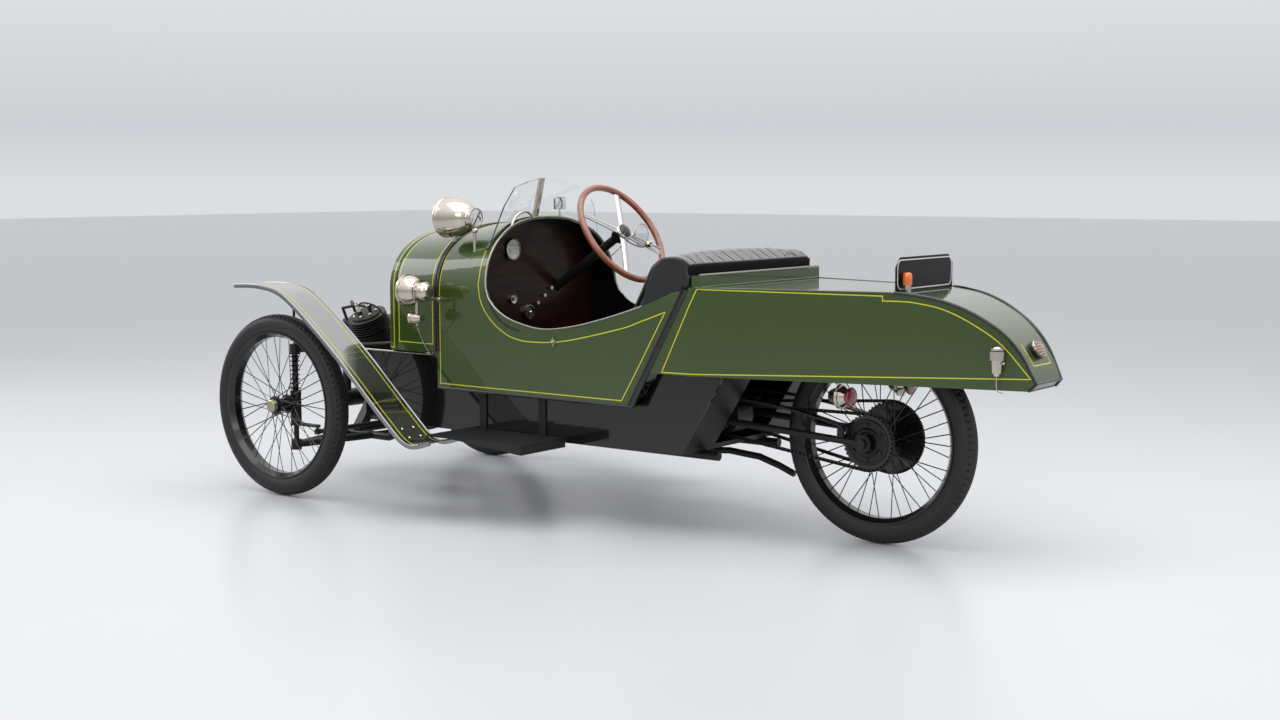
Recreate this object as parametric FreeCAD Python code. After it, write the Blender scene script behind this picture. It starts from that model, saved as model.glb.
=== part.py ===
import FreeCAD, Part
import math
import os

# A three wheeled sports car of the vintage years: two steered wire wheels in
# front, an open air cooled twin ahead of the bonnet, a narrow two seat body
# and one chain driven wheel under a boat tail.
# Millimetres. X runs forward, Y to the left, Z up. The origin is on the ground
# under the middle of the overall length.

# The whole car
WHEELBASE = 2281.0
TRACK = 1197.0
TAIL_OVERHANG = 590.0
SEAT_GAP = 0.3
RUN_GAP = 0.05
OVERCUT = 20.0

# Wheels and tyres
TYRE_DIAMETER = 700.0
TYRE_SECTION = 79.0
TYRE_DEPTH = 70.0
RIM_WIDTH = 68.0
RIM_LIP = 3.0
RIM_DEPTH = 17.0
RIM_BED_WIDTH = 30.0
SPOKE_RADIUS = 1.9
SPOKE_PAIRS = 20
SPOKE_LEAD = 38.0
HUB_RADIUS = 27.0
HUB_FLANGE_RADIUS = 37.0
HUB_FLANGE_THICKNESS = 5.0
FRONT_HUB_INNER = 28.0
FRONT_HUB_OUTER = 44.0
HUB_CAP_LENGTH = 17.0
HUB_CAP_RADIUS = 25.0
REAR_HUB_HALF = 55.0

# Front suspension
KINGPIN_INSET = 68.5
PILLAR_RADIUS = 10.0
PILLAR_BOTTOM_OVER_AXLE = -182.0
PILLAR_TOP_OVER_AXLE = 230.0
SPRING_RADIUS = 22.0
SPRING_COILS = 8
SPRING_WIRE = 7.0
SLEEVE_RADIUS = 21.0
SLEEVE_HALF = 48.0
STUB_RADIUS = 11.0
LUG_RADIUS = 19.0
LUG_HEIGHT = 40.0
CROSS_TUBE_RADIUS = 14.0
LOWER_TUBE_OVER_AXLE = -160.0
LOWER_TUBE_SPREAD = 85.0
UPPER_TUBE_OVER_AXLE = 206.0
UPPER_TUBE_BACK = 165.0
TRUSS_HALF = 130.0

# Steering
ARM_BACK = 120.0
ARM_OVER_AXLE = -86.0
ARM_THICKNESS = 10.0
ARM_WIDTH = 24.0
BALL_PIN_RADIUS = 6.0
BALL_EYE_RADIUS = 12.0
TIE_ROD_RADIUS = 9.0
TIE_ROD_DROP = 17.0
DRAG_LINK_RISE = 11.0
WHEEL_CENTRE_BEHIND_FRONT = 1067.0
STEERING_WHEEL_Y = -163.0
STEERING_WHEEL_OVER_AXLE = 658.0
COLUMN_RAKE = 33.35
STEERING_WHEEL_RADIUS = 205.0
STEERING_RIM_RADIUS = 12.5
STEERING_SPOKE_WIDTH = 22.0
STEERING_SPOKE_THICKNESS = 5.0
STEERING_BOSS_RADIUS = 30.0
STEERING_BOSS_LENGTH = 34.0
COLUMN_RADIUS = 17.0
COLUMN_HEAD_GAP = 1.0
STEERING_BOX_BEHIND = 80.0
STEERING_BOX_RADIUS = 34.0
STEERING_BOX_HEIGHT = 70.0
DROP_SHAFT_RADIUS = 10.0

# Engine
ENGINE_AHEAD_AXLE = 12.0
CRANK_OVER_AXLE = 22.0
CRANKCASE_RADIUS = 108.0
CRANKCASE_LENGTH = 130.0
FLYWHEEL_RADIUS = 100.0
FLYWHEEL_LENGTH = 82.0
TIMING_COVER_RADIUS = 84.0
TIMING_COVER_DEPTH = 26.0
VEE_HALF_ANGLE = 25.0
BARREL_RADIUS = 48.0
BARREL_FOOT = 112.0
FIN_RADIUS = 76.0
FIN_COUNT = 14
FIN_PITCH = 10.4
FIN_THICKNESS = 3.6
HEAD_RADIUS = 58.0
HEAD_RING_RADIUS = 70.0
HEAD_FIN_COUNT = 6
HEAD_FIN_RADIUS = 80.0
HEAD_CAP = 12.0
HEAD_CAP_share = 0.8
PLUG_RADIUS = 9.0
PLUG_LENGTH = 44.0
PLUG_OFFSET = 28.0
ROCKER_RISE = 24.0
ROCKER_RADIUS = 7.0
ROCKER_SPREAD = 32.0
ROCKER_BAR_share = 0.85
PUSH_ROD_RADIUS = 6.0
PUSH_ROD_SPREAD = 27.0
MAGNETO_RADIUS = 34.0
MAGNETO_LENGTH = 76.0
LEAD_RADIUS = 3.5
LEAD_DROP = 30.0
BEND_share = 0.45
FOOT_LENGTH = 40.0
FOOT_WIDTH = 14.0

# Exhaust
PORT_RADIUS = 17.0
PORT_REACH = 285.0
SILENCER_AHEAD = 150.0
SILENCER_RADIUS = 36.0
SILENCER_HALF = 150.0
SILENCER_OVER_AXLE = -32.0
TAIL_PIPE_RADIUS = 12.0
TAIL_PIPE_Y = -100.0
TAIL_PIPE_GAP = 3.0
TAIL_PIPE_BEND_AHEAD = 900.0
TAIL_PIPE_END_AHEAD = 397.0
TAIL_PIPE_RUN = 278.0
TAIL_PIPE_UNDER_AXLE = 172.0
TAIL_PIPE_FALL = 58.0
TAIL_PIPE_END_shares = [(1.000, 1.000), (0.532, 0.828), (0.227, 0.414), (0.000, 0.000)]

# Nose, bonnet and body
NOSE_BEHIND_AXLE = 340.0
NOSE_LENGTH = 53.0
BONNET_LENGTH = 223.0
SEAM = 6.0
LIP_LENGTH = 10.0
PANEL = 3.0
BODY_WALL = 8.0
BODY_BOTTOM_OVER_AXLE = 86.0
SPRING_LINE_OVER_AXLE = 440.0
STRAP_INSET = 5.0
STRAP_CROWN_OVER_AXLE = 692.0
NOSE_INSET = 17.0
NOSE_CROWN_OVER_AXLE = 672.0
NOSE_ROUND = 20.0
BODY_HALF_WIDTH = 383.0
BODY_CROWN_OVER_AXLE = 724.0
ARCH_POWER_share = 2.3
ARCH_STEPS = 9
BONNET_BOTTOM_OVER_AXLE = 217.0
RIM_BEHIND_STRAP = 235.0
JOINT_LOW_AHEAD_REAR = 748.0
JOINT_TOP_AHEAD_REAR = 516.0
JOINT_TOP_OVER_AXLE = 498.0
SILL_WIDTH = 44.0
COCKPIT_shares = [
    (-0.336, 0.713), (-0.253, 0.680), (-0.188, 0.663), (-0.075, 0.592), (0.104, 0.505),
    (0.289, 0.436), (0.442, 0.411), (0.579, 0.446), (0.659, 0.497), (0.709, 0.563),
    (0.728, 0.629), (0.734, 0.698), (0.740, 0.815), (0.745, 0.932), (0.758, 1.013),
    (0.763, 1.178),
]

# Chassis sides, tray and frame tubes
SIDE_PANEL_INSET = 43.0
SIDE_PANEL_BOTTOM_OVER_AXLE = -67.0
SIDE_PANEL_TOP_OVER_AXLE = 205.0
SIDE_FRONT_BEHIND_AXLE = 191.0
SIDE_REAR_LOW = 575.0
SIDE_REAR_TOP = 405.0
TRAY_THICKNESS = 8.0
RAIL_RADIUS = 16.0
RAIL_Y = 190.0
RAIL_DIP_BEHIND = 160.0
RAIL_RISE = 220.0
RAIL_END_AHEAD_REAR = 520.0
TORQUE_TUBE_RADIUS = 32.0
TORQUE_TUBE_OVER_AXLE = 22.0
TUBE_HOLE_GAP = 3.0

# Cockpit
DASH_AHEAD_RIM = 105.0
DASH_THICKNESS = 12.0
DASH_BOTTOM_OVER_AXLE = 210.0
DIAL_RADIUS = 43.0
DIAL_DEPTH = 14.0
DIAL_RING_share = 0.16
DIAL_Y = 107.0
DIAL_OVER_AXLE = 599.0
GAUGE_RADIUS = 17.5
GAUGE_OVER_AXLE = 410.0
SWITCH_RADIUS = 30.0
SWITCH_Y = 16.0
SWITCH_OVER_AXLE = 356.0
KNOB_RADIUS = 7.0
KNOB_SPREAD = 90.0
KNOB_RISE = 60.0
KNOB_shares = [0.55, 1.0, 1.45]
CUSHION_TOP_OVER_AXLE = 170.0
CUSHION_THICKNESS = 110.0
CUSHION_FRONT_AHEAD = 1210.0
SEAT_BACK_HEIGHT = 427.0
SEAT_BACK_DEPTH = 392.0
SEAT_SIDE_GAP = 4.0
SEAT_BOARD = 12.0
SEAT_BACK_shares = [
    (1.000, 0.000), (0.640, 0.585), (0.472, 0.848), (0.395, 0.927), (0.293, 0.986),
    (0.173, 1.000), (0.056, 0.986), (-0.026, 0.948),
]
LEDGE_LENGTH = 34.0
LEDGE_HEIGHT = 40.0
PEDAL_BEHIND_STRAP = 80.0
PEDAL_LEAN = 50.0
PEDAL_WIDTH = 55.0
PEDAL_HEIGHT = 110.0
PEDAL_PAD_HEIGHT = 70.0
PEDAL_SPACING = 80.0
PEDAL_THICKNESS = 6.0
PEDAL_STEM_RADIUS = 7.0

# Tail
TAIL_BOTTOM_OVER_AXLE = 211.0
DECK_OVER_AXLE = 505.0
TAIL_WALL = 6.0
TAIL_CURVE_START = 435.0
TAIL_TIP_OVER_AXLE = 234.0
TAIL_TIP_HALF = 93.0
TAIL_TAPER_START = 506.0
TAIL_END_shares = [
    (1.000, 1.000), (0.880, 0.985), (0.669, 0.925), (0.460, 0.800), (0.251, 0.590),
    (0.113, 0.345), (0.000, 0.000),
]
TAIL_FLOOR_AHEAD = 400.0

# Rear drive and suspension
BEVEL_BOX_AHEAD = 600.0
BEVEL_BOX_OVER_AXLE = 34.0
BEVEL_BOX_RADIUS = 62.0
BEVEL_BOX_WIDTH = 96.0
CROSS_SHAFT_RADIUS = 14.0
CHAIN_LEFT_Y = 85.0
CHAIN_RIGHT_Y = 70.0
BIG_SPROCKET_RADIUS = 121.0
SMALL_SPROCKET_RADIUS = 93.0
DRIVER_LEFT_RADIUS = 52.0
DRIVER_RIGHT_RADIUS = 42.0
SPROCKET_THICKNESS = 5.0
TOOTH_HEIGHT = 6.0
BIG_TEETH = 48
SMALL_TEETH = 36
DRIVER_TEETH = 18
CHAIN_PLATE = 2.5
CHAIN_HEIGHT = 12.0
CHAIN_PLATE_GAP = 1.6
FORK_Y = 120.0
FORK_RADIUS = 12.0
FORK_EYE_RADIUS = 24.0
FORK_EYE_HALF = 14.0
FORK_END_THICKNESS = 10.0
FORK_END_RADIUS = 30.0
AXLE_NUT_RADIUS = 17.0
AXLE_NUT_LENGTH = 16.0
REAR_AXLE_HALF = 138.0
LEAF_WIDTH = 34.0
LEAF_THICKNESS = 6.0
LEAF_COUNT = 4
LEAF_STEP = 110.0
LEAF_ROOT_AHEAD = 640.0
LEAF_TIP_AHEAD = 70.0
LEAF_ROOT_OVER_AXLE = 112.0
LEAF_TIP_OVER_AXLE = 54.0
LEAF_CAMBER = 22.0
LEAF_BLOCK_LENGTH = 70.0

# Windscreen and scuttle fittings
SCREEN_FOOT_BEHIND_STRAP = 158.0
SCREEN_FOOT_OVER_AXLE = 726.0
SCREEN_TOP_OVER_AXLE = 866.0
SCREEN_RAKE_share = 0.248
SCREEN_SWEEP_share = 0.247
GLASS = 5.0
POST_WIDTH = 16.0
POST_DEPTH = 22.0
SCREEN_INSET = 53.0
SCREEN_HEIGHT = 270.0
SCREEN_shares = [
    (0.024, 0.000), (0.024, 1.000), (0.320, 0.955), (0.620, 0.875), (0.790, 0.625),
    (0.970, 0.090), (0.970, -0.300), (0.024, -0.300),
]
SCREEN_POST_SINK = 30.0
HANDLE_RADIUS = 4.5
HANDLE_HEIGHT = 36.0
HANDLE_AHEAD_RIM = 14.0
HANDLE_OFFSET = 83.0
HANDLE_LENGTH = 125.0
MIRROR_WIDTH = 62.0
MIRROR_HEIGHT = 46.0
MIRROR_THICKNESS = 7.0
MIRROR_STALK = 24.0
MIRROR_STALK_RADIUS = 3.0
MIRROR_BEHIND_POST = 56.0
MIRROR_OFFSET = 80.0
FAR_MIRROR_RADIUS = 45.0
FAR_MIRROR_DEPTH = 20.0
FAR_MIRROR_shares = [(0.25, 1.00), (0.75, 0.75), (1.00, 0.13)]
FAR_MIRROR_BEHIND_STRAP = 347.0
FAR_MIRROR_OUTSET = 42.0
FAR_MIRROR_OVER_AXLE = 643.0
FAR_ARM_REACH = 120.0
FAR_ARM_OVER_AXLE = 520.0

# Lamps
SPOT_LAMP_RADIUS = 75.0
SPOT_LAMP_LENGTH = 128.0
SPOT_LAMP_INSET = 58.0
SPOT_LAMP_OVER_AXLE = 722.0
SPOT_MIRROR_RADIUS = 36.0
SPOT_MIRROR_DEPTH = 26.0
SPOT_FRONT_BEHIND_STRAP = 5.0
SPOT_BACK_share = 0.42
MIRROR_RING = 4.0
LAMP_RING = 5.0
LAMP_BOWL_shares = [(0.10, 0.945), (0.28, 0.925), (0.52, 0.830), (0.78, 0.640)]
LAMP_POST_RADIUS = 6.0
SIDE_BACK_share = 0.58
COLLAR_LENGTH = 34.0
COLLAR_DOME_shares = [(0.50, 1.00), (0.85, 0.75), (1.00, 0.30)]
VENT_COUNT = 4
VENT_PITCH = 9.0
VENT_HEIGHT = 7.0
ARM_DROP_share = 0.55
SIDE_LAMP_RADIUS = 60.0
SIDE_LAMP_LENGTH = 118.0
SIDE_LAMP_OUTSET = 92.0
SIDE_LAMP_OVER_AXLE = 455.0
SMALL_LAMP_RADIUS = 24.0
SMALL_LAMP_LENGTH = 52.0
SMALL_LAMP_DROP = 100.0
TAIL_LAMP_RADIUS = 40.0
TAIL_LAMP_LENGTH = 76.0
TAIL_LAMP_shares = [
    (-1.00, 0.22), (-0.13, 0.87), (-0.13, 1.00), (0.13, 1.00), (0.13, 0.87), (1.00, 0.50),
]
TAIL_LAMP_AHEAD = 35.0
TAIL_LAMP_Y = 200.0
TAIL_LAMP_DROP = 50.0
PLATE_HALF = 192.0
PLATE_HEIGHT = 110.0
PLATE_THICKNESS = 4.0
PLATE_BEHIND = 155.0
PLATE_CORNER = 30.0
REFLECTOR_RADIUS = 30.0
REFLECTOR_DEPTH = 18.0
REFLECTOR_PLACE = 5
INDICATOR_RADIUS = 14.0
INDICATOR_HEIGHT = 68.0
INDICATOR_BASE_shares = [(0.00, 0.85), (0.42, 0.85), (0.42, 1.00)]
INDICATOR_DOME_shares = [(0.80, 1.00), (0.95, 0.70), (1.00, 0.10)]
INDICATOR_Y = 150.0
INDICATOR_BEHIND_PLATE = 17.0
TAIL_SIDE_LAMP_BEHIND = 485.0
TAIL_SIDE_LAMP_RADIUS = 21.0
TAIL_SIDE_LAMP_HEIGHT = 92.0
TAIL_SIDE_LAMP_RISE = 48.0
TAIL_SIDE_LAMP_shares = [
    (0.00, 0.45), (0.10, 0.55), (0.10, 0.80), (0.55, 0.88), (0.55, 1.00), (0.88, 1.00),
]
TAIL_SIDE_DOME_shares = [(0.88, 0.92), (0.97, 0.60), (1.00, 0.10)]

# Wings and running steps
WING_INSIDE_KINGPIN = 10.0
WING_WIDTH = 160.0
WING_REACH = 169.0
WING_BEHIND_TYRE = 511.0
WING_FOOT_OVER_AXLE = -78.0
WING_OVER_TYRE = 112.0
WING_SHEET = 4.0
WING_LIP = 14.0
WING_shares = [
    (1.000, 1.000), (0.922, 1.006), (0.845, 1.000), (0.757, 0.965), (0.680, 0.885),
    (0.568, 0.728), (0.439, 0.530), (0.299, 0.293), (0.175, 0.085), (0.131, 0.024),
    (0.093, 0.002), (0.049, 0.012),
]
WING_STAY_RADIUS = 5.0
STEP_FRONT_BEHIND_AXLE = 759.0
STEP_LENGTH = 446.0
STEP_WIDTH = 240.0
STEP_TOP_OVER_AXLE = -50.0
STEP_SHEET = 6.0
STEP_EDGE = 34.0
STEP_BRACKET_WIDTH = 34.0
STEP_BRACKET_shares = [0.08, 0.72]
STEP_BRACKET_THICKNESS = 5.0

# Places worked out from the sizes above
OVERALL = TAIL_OVERHANG + WHEELBASE + TYRE_DIAMETER / 2
REAR_X = TAIL_OVERHANG - OVERALL / 2
FRONT_X = REAR_X + WHEELBASE
AXLE_Z = TYRE_DIAMETER / 2
WHEEL_Y = TRACK / 2
KINGPIN_Y = WHEEL_Y - KINGPIN_INSET
BEAD_RADIUS = TYRE_DIAMETER / 2 - TYRE_DEPTH
NOSE_X = FRONT_X - NOSE_BEHIND_AXLE
NOSE_REAR_X = NOSE_X - NOSE_LENGTH
STRAP_X = NOSE_REAR_X - BONNET_LENGTH
RIM_X = STRAP_X - RIM_BEHIND_STRAP
JOINT_LOW_X = REAR_X + JOINT_LOW_AHEAD_REAR
JOINT_TOP_X = REAR_X + JOINT_TOP_AHEAD_REAR
SIDE_FRONT_X = FRONT_X - SIDE_FRONT_BEHIND_AXLE
PILLAR_BOTTOM = AXLE_Z + PILLAR_BOTTOM_OVER_AXLE
PILLAR_TOP = AXLE_Z + PILLAR_TOP_OVER_AXLE
LOWER_TUBE_Z = AXLE_Z + LOWER_TUBE_OVER_AXLE
UPPER_TUBE_Z = AXLE_Z + UPPER_TUBE_OVER_AXLE
ARM_Z = AXLE_Z + ARM_OVER_AXLE
STEERING_WHEEL_Z = AXLE_Z + STEERING_WHEEL_OVER_AXLE
CRANK_Z = AXLE_Z + CRANK_OVER_AXLE
SILENCER_Z = AXLE_Z + SILENCER_OVER_AXLE
BODY_BOTTOM = AXLE_Z + BODY_BOTTOM_OVER_AXLE
SPRING_LINE = AXLE_Z + SPRING_LINE_OVER_AXLE
STRAP_CROWN = AXLE_Z + STRAP_CROWN_OVER_AXLE
NOSE_CROWN = AXLE_Z + NOSE_CROWN_OVER_AXLE
BODY_CROWN = AXLE_Z + BODY_CROWN_OVER_AXLE
BONNET_BOTTOM = AXLE_Z + BONNET_BOTTOM_OVER_AXLE
JOINT_TOP_Z = AXLE_Z + JOINT_TOP_OVER_AXLE
SIDE_PANEL_BOTTOM = AXLE_Z + SIDE_PANEL_BOTTOM_OVER_AXLE
SIDE_PANEL_TOP = AXLE_Z + SIDE_PANEL_TOP_OVER_AXLE
TORQUE_TUBE_Z = AXLE_Z + TORQUE_TUBE_OVER_AXLE
DASH_BOTTOM = AXLE_Z + DASH_BOTTOM_OVER_AXLE
CUSHION_TOP = AXLE_Z + CUSHION_TOP_OVER_AXLE
TAIL_BOTTOM = AXLE_Z + TAIL_BOTTOM_OVER_AXLE
DECK_Z = AXLE_Z + DECK_OVER_AXLE
TAIL_TIP_Z = AXLE_Z + TAIL_TIP_OVER_AXLE
BEVEL_BOX_Z = AXLE_Z + BEVEL_BOX_OVER_AXLE
LEAF_ROOT_Z = AXLE_Z + LEAF_ROOT_OVER_AXLE
LEAF_TIP_Z = AXLE_Z + LEAF_TIP_OVER_AXLE
SCREEN_FOOT_Z = AXLE_Z + SCREEN_FOOT_OVER_AXLE
SCREEN_TOP_Z = AXLE_Z + SCREEN_TOP_OVER_AXLE
SPOT_LAMP_Z = AXLE_Z + SPOT_LAMP_OVER_AXLE
SIDE_LAMP_Z = AXLE_Z + SIDE_LAMP_OVER_AXLE
WING_FOOT_Z = AXLE_Z + WING_FOOT_OVER_AXLE
STEP_TOP = AXLE_Z + STEP_TOP_OVER_AXLE
STRAP_HALF_WIDTH = BODY_HALF_WIDTH - STRAP_INSET
NOSE_HALF_WIDTH = BODY_HALF_WIDTH - NOSE_INSET
SIDE_PANEL_Y = BODY_HALF_WIDTH - SIDE_PANEL_INSET
SPOT_LAMP_Y = BODY_HALF_WIDTH - SPOT_LAMP_INSET
SIDE_LAMP_Y = BODY_HALF_WIDTH + SIDE_LAMP_OUTSET
SCREEN_HALF = BODY_HALF_WIDTH - SCREEN_INSET
STEP_INNER = SIDE_PANEL_Y + STEP_BRACKET_THICKNESS
STEP_OUTER = STEP_INNER + STEP_WIDTH
WING_OUTER = KINGPIN_Y - WING_INSIDE_KINGPIN + WING_WIDTH
WING_LENGTH = WING_REACH + TYRE_DIAMETER / 2 + WING_BEHIND_TYRE
WING_HEIGHT = TYRE_DIAMETER + WING_OVER_TYRE - WING_FOOT_Z
RAIL_Z = SIDE_PANEL_BOTTOM - SEAT_GAP - RAIL_RADIUS
DIAL_Z = AXLE_Z + DIAL_OVER_AXLE
GAUGE_Z = AXLE_Z + GAUGE_OVER_AXLE
SWITCH_Z = AXLE_Z + SWITCH_OVER_AXLE
FAR_MIRROR_Z = AXLE_Z + FAR_MIRROR_OVER_AXLE
FAR_ARM_Z = AXLE_Z + FAR_ARM_OVER_AXLE
ENGINE_X = FRONT_X + ENGINE_AHEAD_AXLE
BEVEL_X = REAR_X + BEVEL_BOX_AHEAD
ORIGIN = FreeCAD.Vector(0, 0, 0)
AXIS_X = FreeCAD.Vector(1, 0, 0)
AXIS_Y = FreeCAD.Vector(0, 1, 0)
AXIS_Z = FreeCAD.Vector(0, 0, 1)
NODES = {}


def vec(x, y, z):
    return FreeCAD.Vector(x, y, z)


def block(x0, x1, y0, y1, z0, z1):
    return Part.makeBox(x1 - x0, y1 - y0, z1 - z0, vec(x0, y0, z0))


def rod(start, end, radius):
    return Part.makeCylinder(radius, (end - start).Length, start, end - start)


def drum(centre, axis, half_length, radius):
    start = centre - axis * half_length
    return Part.makeCylinder(radius, half_length * 2, start, axis)


def union(shapes):
    return shapes[0].fuse(list(shapes[1:])).removeSplitter()


def mirrored(shape):
    return shape.mirror(ORIGIN, AXIS_Y)


def side_prism(points, y0, y1):
    wire = Part.makePolygon([vec(x, y0, z) for x, z in points + points[:1]])
    return Part.Face(wire).extrude(vec(0, y1 - y0, 0))


def plan_prism(points, z0, z1):
    wire = Part.makePolygon([vec(x, y, z0) for x, y in points + points[:1]])
    return Part.Face(wire).extrude(vec(0, 0, z1 - z0))


def curve(points):
    spline = Part.BSplineCurve()
    spline.interpolate(points)
    return spline.toShape()


def turned(profile, centre, axis, across):
    """Revolve (along, radius) pairs about an axis through the centre."""
    points = [centre + axis * a + across * r for a, r in profile]
    face = Part.Face(Part.makePolygon(points + points[:1]))
    return face.revolve(centre, axis, 360)


def turned_bowl(rim, shell, centre, axis, across):
    """Revolve straight (along, radius) pairs, then a smooth line through more of them."""
    points = [centre + axis * a + across * r for a, r in rim + shell]
    count = len(rim)
    foot = centre + axis * shell[-1][0]
    edges = [Part.makeLine(points[k], points[k + 1]) for k in range(count)]
    edges += [curve(points[count:]), Part.makeLine(points[-1], foot),
              Part.makeLine(foot, points[0])]
    return Part.Face(Part.Wire(edges)).revolve(centre, axis, 360)


def node(name, shape):
    NODES[name] = shape


def pair(name, shape):
    node(name + "_left", shape)
    node(name + "_right", mirrored(shape))


# Wheels


def tyre(centre):
    section = TYRE_SECTION / 2
    ring = Part.makeTorus(TYRE_DIAMETER / 2 - section, section, centre, AXIS_Y)
    return ring.cut(drum(centre, AXIS_Y, TYRE_SECTION, BEAD_RADIUS))


def rim(centre):
    bed = BEAD_RADIUS - SEAT_GAP
    half = RIM_WIDTH / 2
    well = RIM_BED_WIDTH / 2
    profile = [
        (-half, bed + RIM_LIP), (-half + RIM_LIP, bed + RIM_LIP), (-half + RIM_LIP, bed),
        (half - RIM_LIP, bed), (half - RIM_LIP, bed + RIM_LIP), (half, bed + RIM_LIP),
        (half, bed - RIM_LIP), (well, bed - RIM_DEPTH), (-well, bed - RIM_DEPTH),
        (-half, bed - RIM_LIP),
    ]
    return turned(profile, centre, AXIS_Y, AXIS_Z)


def spoke(centre, angle, lead, flange_y, rim_y):
    foot_angle = angle + math.radians(lead)
    foot_radius = HUB_FLANGE_RADIUS - SPOKE_RADIUS * 2
    rim_radius = BEAD_RADIUS - RIM_DEPTH + RIM_LIP
    foot = centre + vec(math.cos(foot_angle) * foot_radius, flange_y,
                        math.sin(foot_angle) * foot_radius)
    head = centre + vec(math.cos(angle) * rim_radius, rim_y, math.sin(angle) * rim_radius)
    along = head - foot
    across = along.cross(AXIS_Y)
    across.normalize()
    rise = along.cross(across)
    rise.normalize()
    corners = [across, rise, across * -1, rise * -1]
    wire = Part.makePolygon([foot + c * SPOKE_RADIUS for c in corners + corners[:1]])
    return Part.Face(wire).extrude(along)


def spoked_wheel(centre, inner, outer):
    """Rim, hub and crossed wire spokes in one piece. The hub runs from -inner to outer."""
    axis_hole = STUB_RADIUS + RUN_GAP
    near = outer - HUB_FLANGE_THICKNESS * 2
    far = -inner + HUB_FLANGE_THICKNESS / 2
    half = HUB_FLANGE_THICKNESS / 2
    hub = union([
        rod(centre + vec(0, -inner, 0), centre + vec(0, outer, 0), HUB_RADIUS),
        drum(centre + vec(0, near, 0), AXIS_Y, half, HUB_FLANGE_RADIUS),
        drum(centre + vec(0, far, 0), AXIS_Y, half, HUB_FLANGE_RADIUS),
    ])
    pieces = [rim(centre), hub]
    for k in range(SPOKE_PAIRS):
        step = 2 * math.pi / SPOKE_PAIRS
        lead = SPOKE_LEAD if k % 2 else -SPOKE_LEAD
        pieces.append(spoke(centre, step * k, lead, near, RIM_LIP))
        pieces.append(spoke(centre, step * (k + 0.5), lead, far, -RIM_LIP))
    wheel = union(pieces)
    return wheel.cut(drum(centre, AXIS_Y, (inner + outer) * 2, axis_hole))


def hub_cap(centre, outer):
    profile = [
        (outer, 0), (outer, HUB_CAP_RADIUS),
        (outer + HUB_CAP_LENGTH - RIM_LIP, HUB_CAP_RADIUS - RIM_LIP / 2),
        (outer + HUB_CAP_LENGTH, HUB_CAP_RADIUS - RIM_LIP * 2), (outer + HUB_CAP_LENGTH, 0),
    ]
    return turned(profile, centre, AXIS_Y, AXIS_Z)


def front_wheels():
    centre = vec(FRONT_X, WHEEL_Y, AXLE_Z)
    pair("front_tyre", tyre(centre))
    pair("front_wheel", spoked_wheel(centre, FRONT_HUB_INNER, FRONT_HUB_OUTER))
    pair("hub_cap", hub_cap(centre, FRONT_HUB_OUTER))


def rear_wheel():
    centre = vec(REAR_X, 0, AXLE_Z)
    node("rear_tyre", tyre(centre))
    hub = [rod(centre - AXIS_Y * CHAIN_RIGHT_Y, centre + AXIS_Y * CHAIN_LEFT_Y, HUB_RADIUS),
           sprocket(centre, CHAIN_LEFT_Y, SMALL_SPROCKET_RADIUS, SMALL_TEETH),
           sprocket(centre, -CHAIN_RIGHT_Y, BIG_SPROCKET_RADIUS, BIG_TEETH)]
    hole = drum(centre, AXIS_Y, REAR_AXLE_HALF, STUB_RADIUS + RUN_GAP)
    node("rear_wheel", union([spoked_wheel(centre, REAR_HUB_HALF, REAR_HUB_HALF)] + hub).cut(hole))


# Front suspension


def knuckle():
    centre = vec(FRONT_X, KINGPIN_Y, AXLE_Z)
    arm_end = vec(FRONT_X - ARM_BACK, KINGPIN_Y, ARM_Z)
    stub_end = vec(FRONT_X, WHEEL_Y + FRONT_HUB_OUTER - SEAT_GAP, AXLE_Z)
    hanger_top = AXLE_Z - SLEEVE_HALF
    top = ARM_Z + ARM_THICKNESS
    pieces = [
        drum(centre, AXIS_Z, SLEEVE_HALF, SLEEVE_RADIUS),
        rod(centre, stub_end, STUB_RADIUS),
        rod(vec(FRONT_X, KINGPIN_Y, ARM_Z), vec(FRONT_X, KINGPIN_Y, hanger_top), SLEEVE_RADIUS),
        bar_between(vec(FRONT_X, KINGPIN_Y, ARM_Z), arm_end, ARM_WIDTH / 2, ARM_THICKNESS),
        rod(arm_end - AXIS_Z * (TIE_ROD_DROP + TIE_ROD_RADIUS), vec(arm_end.x, arm_end.y, top),
            BALL_PIN_RADIUS),
    ]
    hole = rod(vec(FRONT_X, KINGPIN_Y, ARM_Z - OVERCUT),
               vec(FRONT_X, KINGPIN_Y, AXLE_Z + SLEEVE_HALF + OVERCUT), PILLAR_RADIUS + RUN_GAP)
    return union(pieces).cut(hole)


def bar_between(start, end, half_width, thickness):
    """A flat link with round ends, lying level from start to end."""
    along = end - start
    along.normalize()
    side = along.cross(AXIS_Z) * half_width
    corners = [start + side, end + side, end - side, start - side]
    face = Part.Face(Part.makePolygon(corners + corners[:1]))
    ends = [Part.makeCylinder(half_width, thickness, p) for p in (start, end)]
    return union([face.extrude(AXIS_Z * thickness)] + ends)


def coil_spring(bottom, top):
    pitch = (top - bottom) / SPRING_COILS
    inner = 0
    root = PILLAR_RADIUS + SPRING_WIRE / 4
    profile = [(bottom, inner), (bottom, root)]
    for k in range(SPRING_COILS):
        low = bottom + pitch * (k + 0.5)
        profile.append((low - SPRING_WIRE / 2, root))
        profile.append((low, SPRING_RADIUS))
        profile.append((low + SPRING_WIRE / 2, root))
    profile += [(top, root), (top, inner)]
    return turned(profile, vec(FRONT_X, KINGPIN_Y, 0), AXIS_Z, AXIS_X)


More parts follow.
